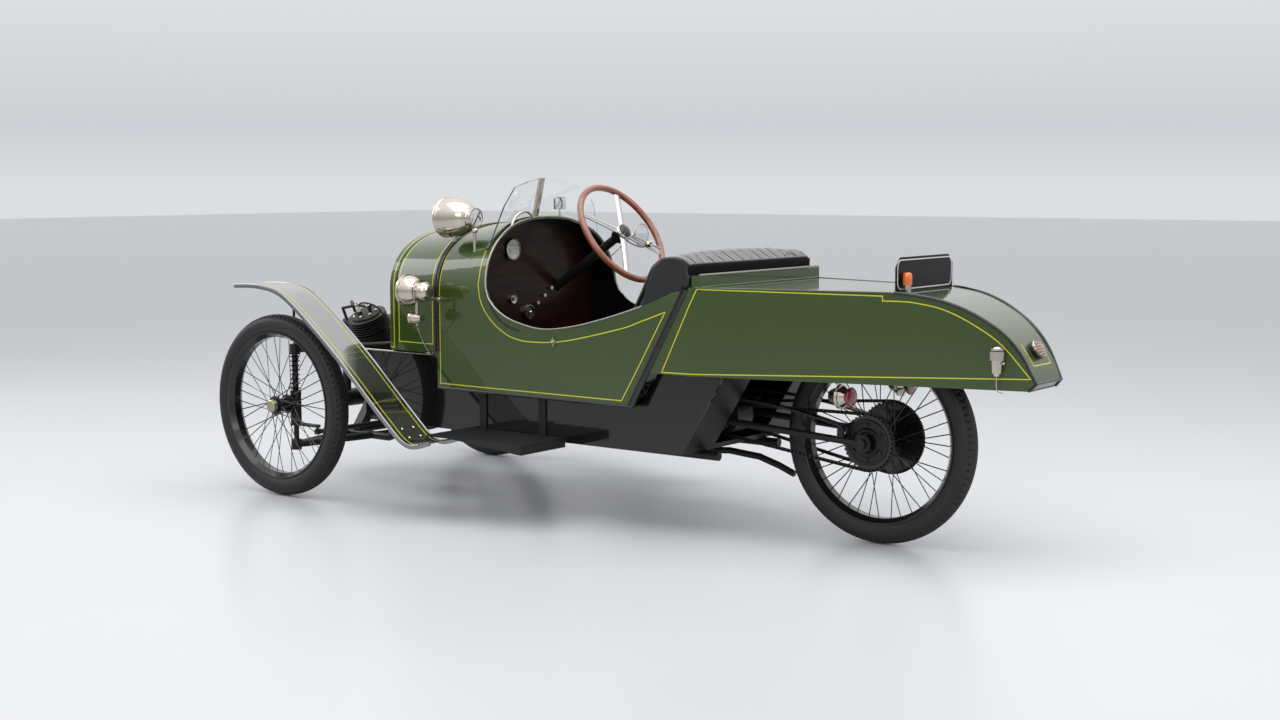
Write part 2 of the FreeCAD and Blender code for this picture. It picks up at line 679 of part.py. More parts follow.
def front_frame():
    left = KINGPIN_Y
    lug_low = PILLAR_BOTTOM + LUG_HEIGHT / 2
    lug_top = PILLAR_TOP - LUG_HEIGHT / 2
    pillar = rod(vec(FRONT_X, left, PILLAR_BOTTOM), vec(FRONT_X, left, PILLAR_TOP), PILLAR_RADIUS)
    lugs = [drum(vec(FRONT_X, left, z), AXIS_Z, LUG_HEIGHT / 2, LUG_RADIUS)
            for z in (lug_low, lug_top)]
    spring = coil_spring(AXLE_Z + SLEEVE_HALF + SEAT_GAP, PILLAR_TOP - LUG_HEIGHT)
    wing_under = WING_FOOT_Z + WING_HEIGHT - WING_SHEET * 1.5
    stay = rod(vec(FRONT_X, left, PILLAR_TOP), vec(FRONT_X, left, wing_under), WING_STAY_RADIUS)
    pair("pillar", union([pillar, spring, stay] + lugs))
    lugs_out = [drum(vec(FRONT_X, s * left, z), AXIS_Z, LUG_HEIGHT / 2 + OVERCUT, LUG_RADIUS)
                for s in (-1, 1) for z in (lug_low, lug_top)]
    tubes = []
    for spread, z_in, z_out in ((LOWER_TUBE_SPREAD, LOWER_TUBE_Z, lug_low),
                                (-LOWER_TUBE_SPREAD, LOWER_TUBE_Z, lug_low),
                                (-UPPER_TUBE_BACK, UPPER_TUBE_Z, lug_top)):
        inner = vec(FRONT_X + spread, TRUSS_HALF, z_in)
        outer = vec(FRONT_X, left, z_out)
        across = vec(inner.x, -inner.y, inner.z)
        far = vec(outer.x, -outer.y, outer.z)
        tubes += [rod(outer, inner, CROSS_TUBE_RADIUS), rod(inner, across, CROSS_TUBE_RADIUS),
                  rod(across, far, CROSS_TUBE_RADIUS),
                  Part.makeSphere(CROSS_TUBE_RADIUS, inner),
                  Part.makeSphere(CROSS_TUBE_RADIUS, across)]
    node("cross_tubes_lower", union(tubes[:10]).cut(lugs_out[0].fuse(lugs_out[1:])))
    node("cross_tube_upper", union(tubes[10:]).cut(lugs_out[0].fuse(lugs_out[1:])))


# Steering gear


def steering_gear():
    left = knuckle()
    top = ARM_Z + ARM_THICKNESS
    drag_z = top + DRAG_LINK_RISE
    drag_top = drag_z + TIE_ROD_RADIUS + RUN_GAP
    right_pin = vec(FRONT_X - ARM_BACK, -KINGPIN_Y, drag_z)
    drag_pin = rod(vec(right_pin.x, right_pin.y, top), vec(right_pin.x, right_pin.y, drag_top),
                   BALL_PIN_RADIUS)
    node("knuckle_left", left)
    node("knuckle_right", mirrored(left).fuse(drag_pin).removeSplitter())
    pin = vec(FRONT_X - ARM_BACK, KINGPIN_Y, ARM_Z - TIE_ROD_DROP)
    far = vec(pin.x, -pin.y, pin.z)
    eye_half = TIE_ROD_RADIUS
    bore = BALL_PIN_RADIUS + RUN_GAP
    link = union([rod(pin, far, TIE_ROD_RADIUS), drum(pin, AXIS_Z, eye_half, BALL_EYE_RADIUS),
                  drum(far, AXIS_Z, eye_half, BALL_EYE_RADIUS)])
    link = link.cut(drum(pin, AXIS_Z, eye_half * 2, bore))
    node("tie_rod", link.cut(drum(far, AXIS_Z, eye_half * 2, bore)))
    drop_arm(right_pin, drag_z)
    steering_column()
    steering_wheel()


def drop_arm(right_pin, drag_z):
    """Drop arm under the steering box, parallel to the right knuckle's arm, and its link."""
    foot = column_foot()
    z = drag_z + TIE_ROD_RADIUS + RUN_GAP
    pivot = vec(foot.x, foot.y, z)
    end = vec(foot.x - ARM_BACK, foot.y, z)
    box_low = foot.z - STEERING_BOX_HEIGHT / 2 - SEAT_GAP
    pin = rod(end - AXIS_Z * (TIE_ROD_RADIUS * 2), end, BALL_PIN_RADIUS)
    shaft = rod(pivot, vec(foot.x, foot.y, box_low), DROP_SHAFT_RADIUS)
    node("drop_arm", union([bar_between(pivot, end, ARM_WIDTH / 2, ARM_THICKNESS), pin, shaft]))
    near = vec(end.x, end.y, drag_z)
    link = union([rod(near, right_pin, TIE_ROD_RADIUS)] +
                 [drum(p, AXIS_Z, TIE_ROD_RADIUS, BALL_EYE_RADIUS) for p in (near, right_pin)])
    bore = BALL_PIN_RADIUS + RUN_GAP
    for p in (near, right_pin):
        link = link.cut(drum(p, AXIS_Z, TIE_ROD_RADIUS * 2, bore))
    node("drag_link", link)


def column_axis():
    rake = math.radians(COLUMN_RAKE)
    return vec(math.cos(rake), 0, -math.sin(rake))


def wheel_hub_point():
    return vec(FRONT_X - WHEEL_CENTRE_BEHIND_FRONT, STEERING_WHEEL_Y, STEERING_WHEEL_Z)


def column_foot():
    along = column_axis()
    head = wheel_hub_point()
    reach = (FRONT_X - STEERING_BOX_BEHIND - head.x) / along.x
    return head + along * reach


def steering_column():
    along = column_axis()
    head = wheel_hub_point() + along * (STEERING_BOSS_LENGTH + COLUMN_HEAD_GAP)
    foot = column_foot()
    tube = rod(head, foot, COLUMN_RADIUS)
    box = drum(foot, AXIS_Z, STEERING_BOX_HEIGHT / 2, STEERING_BOX_RADIUS)
    node("steering_column", union([tube, box]))


def steering_wheel():
    along = column_axis()
    centre = wheel_hub_point()
    up = vec(-along.z, 0, along.x)
    node("steering_wheel_rim", Part.makeTorus(STEERING_WHEEL_RADIUS, STEERING_RIM_RADIUS,
                                              centre, along))
    boss = rod(centre - along * STEERING_SPOKE_THICKNESS,
               centre + along * STEERING_BOSS_LENGTH, STEERING_BOSS_RADIUS)
    reach = STEERING_WHEEL_RADIUS - STEERING_RIM_RADIUS - SEAT_GAP
    arms = [boss]
    for direction in (up, AXIS_Y):
        side = along.cross(direction) * (STEERING_SPOKE_WIDTH / 2)
        back = along * (-STEERING_SPOKE_THICKNESS / 2)
        corners = [centre + direction * s * reach + side * t + back
                   for s, t in ((-1, -1), (1, -1), (1, 1), (-1, 1))]
        face = Part.Face(Part.makePolygon(corners + corners[:1]))
        arms.append(face.extrude(along * STEERING_SPOKE_THICKNESS))
    node("steering_wheel_spokes", union(arms))


# Engine


def engine():
    centre = vec(ENGINE_X, 0, CRANK_Z)
    half = CRANKCASE_LENGTH / 2
    case = union([
        drum(centre, AXIS_X, half, CRANKCASE_RADIUS),
        rod(centre - AXIS_X * half, centre - AXIS_X * (half + FLYWHEEL_LENGTH), FLYWHEEL_RADIUS),
        rod(centre + AXIS_X * half, centre + AXIS_X * (half + TIMING_COVER_DEPTH),
            TIMING_COVER_RADIUS),
    ])
    barrels = []
    for side in (1, -1):
        lean = math.radians(VEE_HALF_ANGLE) * side
        along = vec(0, math.sin(lean), math.cos(lean))
        half_space = block(centre.x - FIN_RADIUS * 2, centre.x + FIN_RADIUS * 2,
                           -FIN_RADIUS * 2, SEAT_GAP, CRANK_Z, BODY_CROWN)
        if side < 0:
            half_space = mirrored(half_space)
        barrels.append(cylinder(centre, along).cut(half_space))
        case = case.cut(rod(centre + along * BARREL_FOOT,
                            centre + along * (BARREL_FOOT + CRANKCASE_RADIUS), FIN_RADIUS))
    rail_top = LOWER_TUBE_Z + RAIL_RADIUS + SEAT_GAP
    flank = CRANKCASE_RADIUS - FOOT_WIDTH
    foot = [(RAIL_Y - FOOT_WIDTH, rail_top), (RAIL_Y + FOOT_WIDTH, rail_top),
            (RAIL_Y + FOOT_WIDTH, rail_top + FOOT_WIDTH), (flank, CRANK_Z), (0, CRANK_Z),
            (flank / 2, CRANK_Z - FOOT_LENGTH)]
    points = [vec(ENGINE_X - FOOT_LENGTH / 2, y, z) for y, z in foot + foot[:1]]
    leg = Part.Face(Part.makePolygon(points)).extrude(AXIS_X * FOOT_LENGTH)
    node("crankcase", union([case, leg, mirrored(leg)]))
    node("cylinder_left", barrels[0])
    node("cylinder_right", barrels[1])


def tube_run(points, radius):
    """Straight runs of round tube with ball corners."""
    runs = [rod(points[k], points[k + 1], radius) for k in range(len(points) - 1)]
    return union(runs + [Part.makeSphere(radius, p) for p in points[1:-1]])


def exhaust():
    pipes = []
    box_x = FRONT_X + SILENCER_AHEAD
    start_x = ENGINE_X + HEAD_FIN_RADIUS + SEAT_GAP
    angle = math.radians(VEE_HALF_ANGLE)
    for s in (1, -1):
        y = s * math.sin(angle) * PORT_REACH
        z = CRANK_Z + math.cos(angle) * PORT_REACH
        pipes.append(tube_run([vec(start_x, y, z), vec(box_x, y, z),
                               vec(box_x, y, SILENCER_Z)], PORT_RADIUS))
    box = drum(vec(box_x, 0, SILENCER_Z), AXIS_Y, SILENCER_HALF, SILENCER_RADIUS)
    low = LOWER_TUBE_Z + CROSS_TUBE_RADIUS + TAIL_PIPE_GAP + TAIL_PIPE_RADIUS
    y = TAIL_PIPE_Y
    path = [vec(box_x, y, SILENCER_Z), vec(box_x, y, low),
            vec(REAR_X + TAIL_PIPE_BEND_AHEAD, y, low)]
    for sx, sz in TAIL_PIPE_END_shares:
        path.append(vec(REAR_X + TAIL_PIPE_END_AHEAD + sx * TAIL_PIPE_RUN, y,
                        AXLE_Z - TAIL_PIPE_UNDER_AXLE + sz * TAIL_PIPE_FALL))
    node("exhaust", union(pipes + [box, tube_run(path, TAIL_PIPE_RADIUS)]))


def bent_tube(points, radius):
    """Round tube along straight runs joined by tangent arcs, as wide as the runs allow."""
    pieces = []
    start = points[0]
    for before, corner, after in zip(points, points[1:], points[2:]):
        back = before - corner
        ahead = after - corner
        reach = min(back.Length, ahead.Length) * BEND_share
        back.normalize()
        ahead.normalize()
        half_turn = (math.pi - back.getAngle(ahead)) / 2
        middle = back + ahead
        middle.normalize()
        centre = corner + middle * (reach / math.sin(half_turn))
        enter = corner + back * reach
        leave = corner + ahead * reach
        section = Part.Face(Part.Wire(Part.makeCircle(radius, enter, back)))
        hinge = (enter - centre).cross(leave - centre)
        pieces += [rod(start, enter, radius),
                   section.revolve(centre, hinge, math.degrees(half_turn * 2))]
        start = leave
    return union(pieces + [rod(start, points[-1], radius)])


def cylinder(centre, along):
    """Finned barrel, joint ring and finned head on one axis."""
    profile = [(BARREL_FOOT, 0), (BARREL_FOOT, BARREL_RADIUS)]
    level = BARREL_FOOT
    for count, root, tip in ((FIN_COUNT, BARREL_RADIUS, FIN_RADIUS),
                             (HEAD_FIN_COUNT, HEAD_RADIUS, HEAD_FIN_RADIUS)):
        for k in range(count):
            low = level + FIN_PITCH * (k + 0.5)
            profile += [(low, root), (low, tip), (low + FIN_THICKNESS, tip),
                        (low + FIN_THICKNESS, root)]
        level += FIN_PITCH * (count + 0.5)
        if tip == FIN_RADIUS:
            profile += [(level, root), (level, HEAD_RING_RADIUS),
                        (level + FIN_THICKNESS, HEAD_RING_RADIUS),
                        (level + FIN_THICKNESS, HEAD_RADIUS)]
    profile += [(level, HEAD_RADIUS), (level + HEAD_CAP, HEAD_RADIUS * HEAD_CAP_share),
                (level + HEAD_CAP, 0)]
    return turned(profile, centre, along, AXIS_X)


def head_top():
    return BARREL_FOOT + FIN_PITCH * (FIN_COUNT + HEAD_FIN_COUNT + 1.0) + HEAD_CAP


def engine_gear():
    """Rocker stands, push rod tubes, sparking plugs, their leads and the magneto."""
    centre = vec(ENGINE_X, 0, CRANK_Z)
    magneto_z = CRANK_Z + FLYWHEEL_RADIUS + MAGNETO_RADIUS + SEAT_GAP
    magneto_x = ENGINE_X - HEAD_FIN_RADIUS - MAGNETO_LENGTH / 2 - SEAT_GAP
    magneto_end = magneto_x - MAGNETO_LENGTH / 2
    magneto = drum(vec(magneto_x, 0, magneto_z), AXIS_X, MAGNETO_LENGTH / 2, MAGNETO_RADIUS)
    saddle = block(magneto_x - MAGNETO_RADIUS, magneto_x + MAGNETO_RADIUS / 2, -MAGNETO_RADIUS,
                   MAGNETO_RADIUS, CRANK_Z + FLYWHEEL_RADIUS / 2, magneto_z)
    saddle = saddle.cut(drum(centre, AXIS_X, CRANKCASE_LENGTH * 2, FLYWHEEL_RADIUS + SEAT_GAP))
    saddle = saddle.cut(drum(centre, AXIS_X, CRANKCASE_LENGTH / 2 + SEAT_GAP,
                             CRANKCASE_RADIUS + SEAT_GAP))
    lean = math.radians(VEE_HALF_ANGLE)
    along = vec(0, math.sin(lean), math.cos(lean))
    outward = vec(0, math.cos(lean), -math.sin(lean))
    head = centre + along * (head_top() + SEAT_GAP)
    rocker = head + along * ROCKER_RISE
    reach = ROCKER_SPREAD + ROCKER_RADIUS * 2
    bar_end = rocker + AXIS_X * reach
    gear = [rod(head + AXIS_X * x, rocker + AXIS_X * x, ROCKER_RADIUS)
            for x in (ROCKER_SPREAD, -ROCKER_SPREAD)]
    gear.append(rod(rocker - AXIS_X * reach, bar_end, ROCKER_RADIUS * ROCKER_BAR_share))
    reach_down = head_top() + ROCKER_RISE + PUSH_ROD_RADIUS - TIMING_COVER_RADIUS
    for aside in (PUSH_ROD_SPREAD, -PUSH_ROD_SPREAD):
        arm_end = rocker + AXIS_X * (HEAD_FIN_RADIUS + PUSH_ROD_RADIUS * 2) + outward * aside
        foot = arm_end - along * reach_down
        gear += [rod(bar_end, arm_end, PUSH_ROD_RADIUS),
                 Part.makeSphere(PUSH_ROD_RADIUS, arm_end),
                 rod(foot, arm_end, PUSH_ROD_RADIUS)]
    plug_foot = head + outward * PLUG_OFFSET
    plug_top = plug_foot + along * PLUG_LENGTH
    over = plug_top - AXIS_X * PLUG_LENGTH + along * (PLUG_LENGTH / 3)
    behind = over - AXIS_X * LEAD_DROP - along * LEAD_DROP - outward * LEAD_DROP
    end = vec(magneto_end + LEAD_RADIUS, MAGNETO_RADIUS / 2, magneto_z)
    wire = bent_tube([plug_top - along * LEAD_RADIUS, over, behind, end - AXIS_X * LEAD_DROP, end],
                     LEAD_RADIUS)
    gear += [rod(plug_foot, plug_foot + along * (PLUG_LENGTH / 3), PLUG_RADIUS),
             rod(plug_foot, plug_top, PLUG_RADIUS / 2), wire]
    cover = drum(centre, AXIS_X, CRANKCASE_LENGTH / 2 + TIMING_COVER_DEPTH + SEAT_GAP,
                 TIMING_COVER_RADIUS + SEAT_GAP)
    side = union(gear).cut(cover)
    whole = union([magneto, saddle, side, mirrored(side)])
    node("engine_gear", whole)


# Body


def arch_points(x, half_width, crown, bottom):
    """Points of the body section: straight sides and an arched top."""
    points = [vec(x, -half_width, bottom)]
    rise = crown - SPRING_LINE
    for k in range(-ARCH_STEPS, ARCH_STEPS + 1):
        angle = math.pi / 2 * k / ARCH_STEPS
        across = math.copysign(abs(math.sin(angle)) ** (2 / ARCH_POWER_share), k)
        up = abs(math.cos(angle)) ** (2 / ARCH_POWER_share)
        points.append(vec(x, half_width * across, SPRING_LINE + rise * up))
    points.append(vec(x, half_width, bottom))
    return points


def arch_wire(x, half_width, crown, bottom):
    points = arch_points(x, half_width, crown, bottom)
    top = curve(points[1:-1])
    return Part.Wire([
        Part.makeLine(points[0], points[1]), top, Part.makeLine(points[-2], points[-1]),
        Part.makeLine(points[-1], points[0]),
    ])


def arch_solid(stations, bottom):
    """Solid through (x, half width, crown) stations."""
    wires = [arch_wire(x, half, crown, bottom) for x, half, crown in stations]
    spans = [Part.makeLoft(wires[k:k + 2], True, True) for k in range(len(wires) - 1)]
    return spans[0] if len(spans) == 1 else union(spans)


def body_stations(inset):
    return [
        (JOINT_TOP_X - OVERCUT * 2, BODY_HALF_WIDTH - inset, BODY_CROWN - inset),
        (RIM_X, BODY_HALF_WIDTH - inset, BODY_CROWN - inset),
        (STRAP_X, STRAP_HALF_WIDTH - inset, STRAP_CROWN - inset),
    ]


def cockpit_prism():
    length = STRAP_X - JOINT_LOW_X
    height = STRAP_CROWN - BODY_BOTTOM
    points = [(JOINT_LOW_X + sx * length, BODY_BOTTOM + sz * height) for sx, sz in COCKPIT_shares]
    points.append((points[0][0], points[-1][1]))
    return side_prism(points, -BODY_HALF_WIDTH - OVERCUT, BODY_HALF_WIDTH + OVERCUT)


def joint_x(z):
    """The slanted joint between body and tail."""
    share = (z - BODY_BOTTOM) / (JOINT_TOP_Z - BODY_BOTTOM)
    return JOINT_LOW_X + (JOINT_TOP_X - JOINT_LOW_X) * share


def behind_joint():
    low = BODY_BOTTOM - OVERCUT
    high = BODY_CROWN + OVERCUT
    back = JOINT_TOP_X - OVERCUT * 10
    points = [(joint_x(low), low), (joint_x(high), high), (back, high), (back, low)]
    return side_prism(points, -BODY_HALF_WIDTH - OVERCUT, BODY_HALF_WIDTH + OVERCUT)


def body_tub():
    outer = arch_solid(body_stations(0), BODY_BOTTOM)
    stations = body_stations(BODY_WALL)
    stations[0] = (stations[0][0] - OVERCUT, stations[0][1], stations[0][2])
    stations[-1] = (STRAP_X - BODY_WALL, stations[-1][1], stations[-1][2])
    tub = outer.cut(arch_solid(stations, BODY_BOTTOM - OVERCUT))
    tub = tub.cut(cockpit_prism()).cut(behind_joint())
    hole_from = wheel_hub_point()
    hole = rod(hole_from, column_foot(), COLUMN_RADIUS + TUBE_HOLE_GAP)
    sill_y = BODY_HALF_WIDTH - BODY_WALL - SILL_WIDTH
    sill = side_prism([(joint_x(BODY_BOTTOM), BODY_BOTTOM), (STRAP_X, BODY_BOTTOM),
                       (STRAP_X, BODY_BOTTOM + BODY_WALL),
                       (joint_x(BODY_BOTTOM + BODY_WALL), BODY_BOTTOM + BODY_WALL)],
                      sill_y, STRAP_HALF_WIDTH - BODY_WALL / 2)
    node("body_tub", union([tub, sill, mirrored(sill)]).cut(hole))


def bonnet():
    front = NOSE_REAR_X - SEAM / 2
    back = STRAP_X + SEAT_GAP
    outer = arch_solid([(back, STRAP_HALF_WIDTH, STRAP_CROWN),
                        (front, NOSE_HALF_WIDTH, NOSE_CROWN)], BONNET_BOTTOM)
    inner = arch_solid([(back - OVERCUT, STRAP_HALF_WIDTH - PANEL, STRAP_CROWN - PANEL),
                        (front + OVERCUT, NOSE_HALF_WIDTH - PANEL, NOSE_CROWN - PANEL)],
                       BONNET_BOTTOM - OVERCUT)
    node("bonnet", outer.cut(inner))
    rear = NOSE_REAR_X + SEAM / 2
    shell = arch_solid([(rear, NOSE_HALF_WIDTH, NOSE_CROWN),
                        (NOSE_X - NOSE_ROUND, NOSE_HALF_WIDTH, NOSE_CROWN)], BONNET_BOTTOM)
    cap = arch_solid([(NOSE_X - NOSE_ROUND, NOSE_HALF_WIDTH, NOSE_CROWN),
                      (NOSE_X, NOSE_HALF_WIDTH - NOSE_ROUND, NOSE_CROWN - NOSE_ROUND)],
                     BONNET_BOTTOM)
    lip_inset = PANEL + SEAT_GAP
    lip = arch_solid([(rear - SEAM - LIP_LENGTH, NOSE_HALF_WIDTH - lip_inset, NOSE_CROWN - lip_inset),
                      (rear + LIP_LENGTH, NOSE_HALF_WIDTH - lip_inset, NOSE_CROWN - lip_inset)],
                     BONNET_BOTTOM)
    inset = lip_inset + PANEL
    hollow = arch_solid([(rear - OVERCUT - SEAM - LIP_LENGTH, NOSE_HALF_WIDTH - inset, NOSE_CROWN - inset),
                         (NOSE_X - NOSE_ROUND, NOSE_HALF_WIDTH - inset, NOSE_CROWN - inset)],
                        BONNET_BOTTOM - OVERCUT)
    apron = block(NOSE_X - NOSE_ROUND, NOSE_X - PANEL, -SIDE_PANEL_Y, SIDE_PANEL_Y,
                  SIDE_PANEL_TOP, BONNET_BOTTOM + PANEL)
    column_hole = rod(wheel_hub_point(), column_foot(), COLUMN_RADIUS + TUBE_HOLE_GAP)
    node("nose_cowl", union([shell, cap, lip, apron]).cut(hollow).cut(column_hole))


def chassis_sides():
    slant_top = joint_x(TAIL_BOTTOM)
    points = [
        (REAR_X + SIDE_REAR_TOP, SIDE_PANEL_TOP), (REAR_X + SIDE_REAR_LOW, SIDE_PANEL_BOTTOM),
        (SIDE_FRONT_X, SIDE_PANEL_BOTTOM), (SIDE_FRONT_X, SIDE_PANEL_TOP),
        (STRAP_X + SEAT_GAP, SIDE_PANEL_TOP), (STRAP_X + SEAT_GAP, BODY_BOTTOM),
        (JOINT_LOW_X, BODY_BOTTOM), (slant_top, SIDE_PANEL_TOP),
    ]
    inner = SIDE_PANEL_Y - TRAY_THICKNESS
    pair("chassis_side", side_prism(points, inner, SIDE_PANEL_Y))
    rear = REAR_X + SIDE_REAR_LOW
    top_x = REAR_X + SIDE_REAR_TOP
    floor = block(rear, STRAP_X, -inner, inner, SIDE_PANEL_BOTTOM,
                  SIDE_PANEL_BOTTOM + TRAY_THICKNESS)
    wall = block(STRAP_X - TRAY_THICKNESS, STRAP_X, -inner, inner, SIDE_PANEL_BOTTOM,
                 BODY_BOTTOM)
    slope = side_prism([(rear, SIDE_PANEL_BOTTOM), (rear + TRAY_THICKNESS, SIDE_PANEL_BOTTOM),
                        (top_x + TRAY_THICKNESS, SIDE_PANEL_TOP), (top_x, SIDE_PANEL_TOP)],
                       -inner, inner)
    tray = union([floor, wall, slope])
    hole = rod(vec(REAR_X, 0, TORQUE_TUBE_Z), vec(FRONT_X, 0, TORQUE_TUBE_Z),
               TORQUE_TUBE_RADIUS + TUBE_HOLE_GAP)
    box_hole = drum(vec(BEVEL_X, 0, BEVEL_BOX_Z), AXIS_Y, BEVEL_BOX_WIDTH, BEVEL_BOX_RADIUS + OVERCUT)
    drive = FORK_Y + FORK_EYE_HALF + OVERCUT
    drive_hole = block(top_x - OVERCUT, rear, -drive, drive, SIDE_PANEL_BOTTOM + OVERCUT,
                       SIDE_PANEL_TOP - OVERCUT)
    tray = tray.cut(hole).cut(box_hole).cut(drive_hole)
    pipe_hole = block(REAR_X, rear + OVERCUT * 2, TAIL_PIPE_Y - OVERCUT, TAIL_PIPE_Y + OVERCUT,
                      0, RAIL_Z)
    node("floor_tray", tray.cut(pipe_hole))


def frame_tubes():
    ahead = FRONT_X + LOWER_TUBE_SPREAD
    dip = FRONT_X - RAIL_DIP_BEHIND
    points = [vec(ahead, RAIL_Y, LOWER_TUBE_Z), vec(dip, RAIL_Y, LOWER_TUBE_Z),
              vec(dip - RAIL_RISE, RAIL_Y, RAIL_Z),
              vec(REAR_X + RAIL_END_AHEAD_REAR, RAIL_Y, RAIL_Z)]
    pieces = [rod(points[k], points[k + 1], RAIL_RADIUS) for k in range(len(points) - 1)]
    pieces += [Part.makeSphere(RAIL_RADIUS, p) for p in points[1:-1]]
    rail = union(pieces)
    rail = rail.cut(NODES["cross_tubes_lower"])
    solids = sorted(rail.Solids, key=lambda s: s.Volume)
    pair("frame_rail", solids[-1])
    front = ENGINE_X - CRANKCASE_LENGTH / 2 - FLYWHEEL_LENGTH - SEAT_GAP
    rear = BEVEL_X + BEVEL_BOX_RADIUS + SEAT_GAP
    node("torque_tube", rod(vec(rear, 0, TORQUE_TUBE_Z), vec(front, 0, TORQUE_TUBE_Z),
                            TORQUE_TUBE_RADIUS))


# Cockpit


def dashboard():
    x = RIM_X + DASH_AHEAD_RIM
    share = (x - RIM_X) / (STRAP_X - RIM_X)
    inset = BODY_WALL + SEAT_GAP * 2
    half = BODY_HALF_WIDTH + (STRAP_HALF_WIDTH - BODY_HALF_WIDTH) * share - inset
    crown = BODY_CROWN + (STRAP_CROWN - BODY_CROWN) * share - inset
    board = arch_solid([(x, half, crown), (x + DASH_THICKNESS, half, crown)], DASH_BOTTOM)
    board = board.cut(rod(wheel_hub_point(), column_foot(), COLUMN_RADIUS + SEAT_GAP))
    node("dashboard", board.cut(NODES["body_tub"]))


def seat_board():
    """Plank and front riser under the cushion."""
    base = CUSHION_TOP - CUSHION_THICKNESS
    front = REAR_X + CUSHION_FRONT_AHEAD
    back = joint_x(base) + OVERCUT
    shelf = base - SEAT_GAP
    inner = SIDE_PANEL_Y - TRAY_THICKNESS
    board = union([
        block(back, front, -inner, inner, shelf - SEAT_BOARD, shelf),
        block(front - SEAT_BOARD, front, -inner, inner, SIDE_PANEL_BOTTOM + TRAY_THICKNESS,
              shelf),
    ])
    tunnel = drum(vec(front, 0, TORQUE_TUBE_Z), AXIS_X, SEAT_BACK_DEPTH * 2,
                  TORQUE_TUBE_RADIUS + TUBE_HOLE_GAP)
    node("seat_board", board.cut(tunnel))


def seats():
    width = BODY_HALF_WIDTH - BODY_WALL - SEAT_SIDE_GAP
    base = CUSHION_TOP - CUSHION_THICKNESS
    front = REAR_X + CUSHION_FRONT_AHEAD
    back = joint_x(base) + OVERCUT
    sill_inner = BODY_HALF_WIDTH - BODY_WALL - SILL_WIDTH - SEAT_GAP
    cushion = block(back, front, -width, width, base, CUSHION_TOP)
    for s in (-1, 1):
        y0, y1 = sorted((s * sill_inner, s * (width + OVERCUT)))
        cushion = cushion.cut(block(back - OVERCUT, front + OVERCUT, y0, y1, base - OVERCUT,
                                    BODY_BOTTOM + BODY_WALL + SEAT_GAP))
    outline = [(joint_x(CUSHION_TOP) + SEAT_GAP, CUSHION_TOP + SEAT_GAP)]
    seat_foot = JOINT_TOP_X
    outline += [(seat_foot + sx * SEAT_BACK_DEPTH, CUSHION_TOP + SEAT_GAP + sz * SEAT_BACK_HEIGHT)
                for sx, sz in SEAT_BACK_shares]
    outline.append((joint_x(JOINT_TOP_Z) + SEAT_GAP, JOINT_TOP_Z))
    node("seat_back", side_prism(outline, -width, width).cut(behind_joint()))
    node("seat_cushion", cushion)


# Tail


def tail_outline(inset):
    tip = REAR_X - TAIL_OVERHANG + inset
    base = TAIL_BOTTOM if inset == 0 else TAIL_BOTTOM - OVERCUT
    deck = DECK_Z - inset
    length = TAIL_CURVE_START
    height = DECK_Z - TAIL_TIP_Z
    curved = [vec(tip + sx * length, 0, TAIL_TIP_Z + sz * height - inset)
              for sx, sz in TAIL_END_shares]
    front_top = vec(joint_x(deck) + inset, 0, deck)
    front_low = vec(joint_x(base) + inset, 0, base)
    start = vec(curved[0].x, 0, deck)
    tip_low = vec(tip + (TAIL_TIP_Z - TAIL_BOTTOM), 0, base)
    edge = curve([start] + curved[1:])
    wire = Part.Wire([
        Part.makeLine(front_low, front_top), Part.makeLine(front_top, start), edge,
        Part.makeLine(curved[-1], tip_low), Part.makeLine(tip_low, front_low),
    ])
    return Part.Face(wire)


def tail_solid(inset):
    half = BODY_HALF_WIDTH - inset
    tip_half = TAIL_TIP_HALF - inset
    side = tail_outline(inset)
    side.translate(vec(0, -BODY_HALF_WIDTH, 0))
    profile = side.extrude(vec(0, BODY_HALF_WIDTH * 2, 0))
    start = REAR_X + TAIL_TAPER_START
    tip = REAR_X - TAIL_OVERHANG
    plan = [(JOINT_LOW_X + OVERCUT, half), (start, half), (tip, tip_half), (tip, -tip_half),
            (start, -half), (JOINT_LOW_X + OVERCUT, -half)]
    return profile.common(plan_prism(plan, TAIL_BOTTOM - OVERCUT * 2, BODY_CROWN))


def tail():
    shell = tail_solid(0).cut(tail_solid(TAIL_WALL))
    x0 = REAR_X + TAIL_FLOOR_AHEAD
    low = TAIL_BOTTOM
    floor = block(x0, JOINT_LOW_X, -BODY_HALF_WIDTH, BODY_HALF_WIDTH, low, low + TAIL_WALL)
    edge = JOINT_TOP_X + SEAT_BACK_shares[-1][0] * SEAT_BACK_DEPTH - SEAT_GAP
    half = BODY_HALF_WIDTH - BODY_WALL
    ledge = block(edge - LEDGE_LENGTH, edge, -half, half, DECK_Z - TAIL_WALL / 2,
                  DECK_Z + LEDGE_HEIGHT)
    node("tail", union([shell, floor.common(tail_solid(0)), ledge]))


# Rear drive


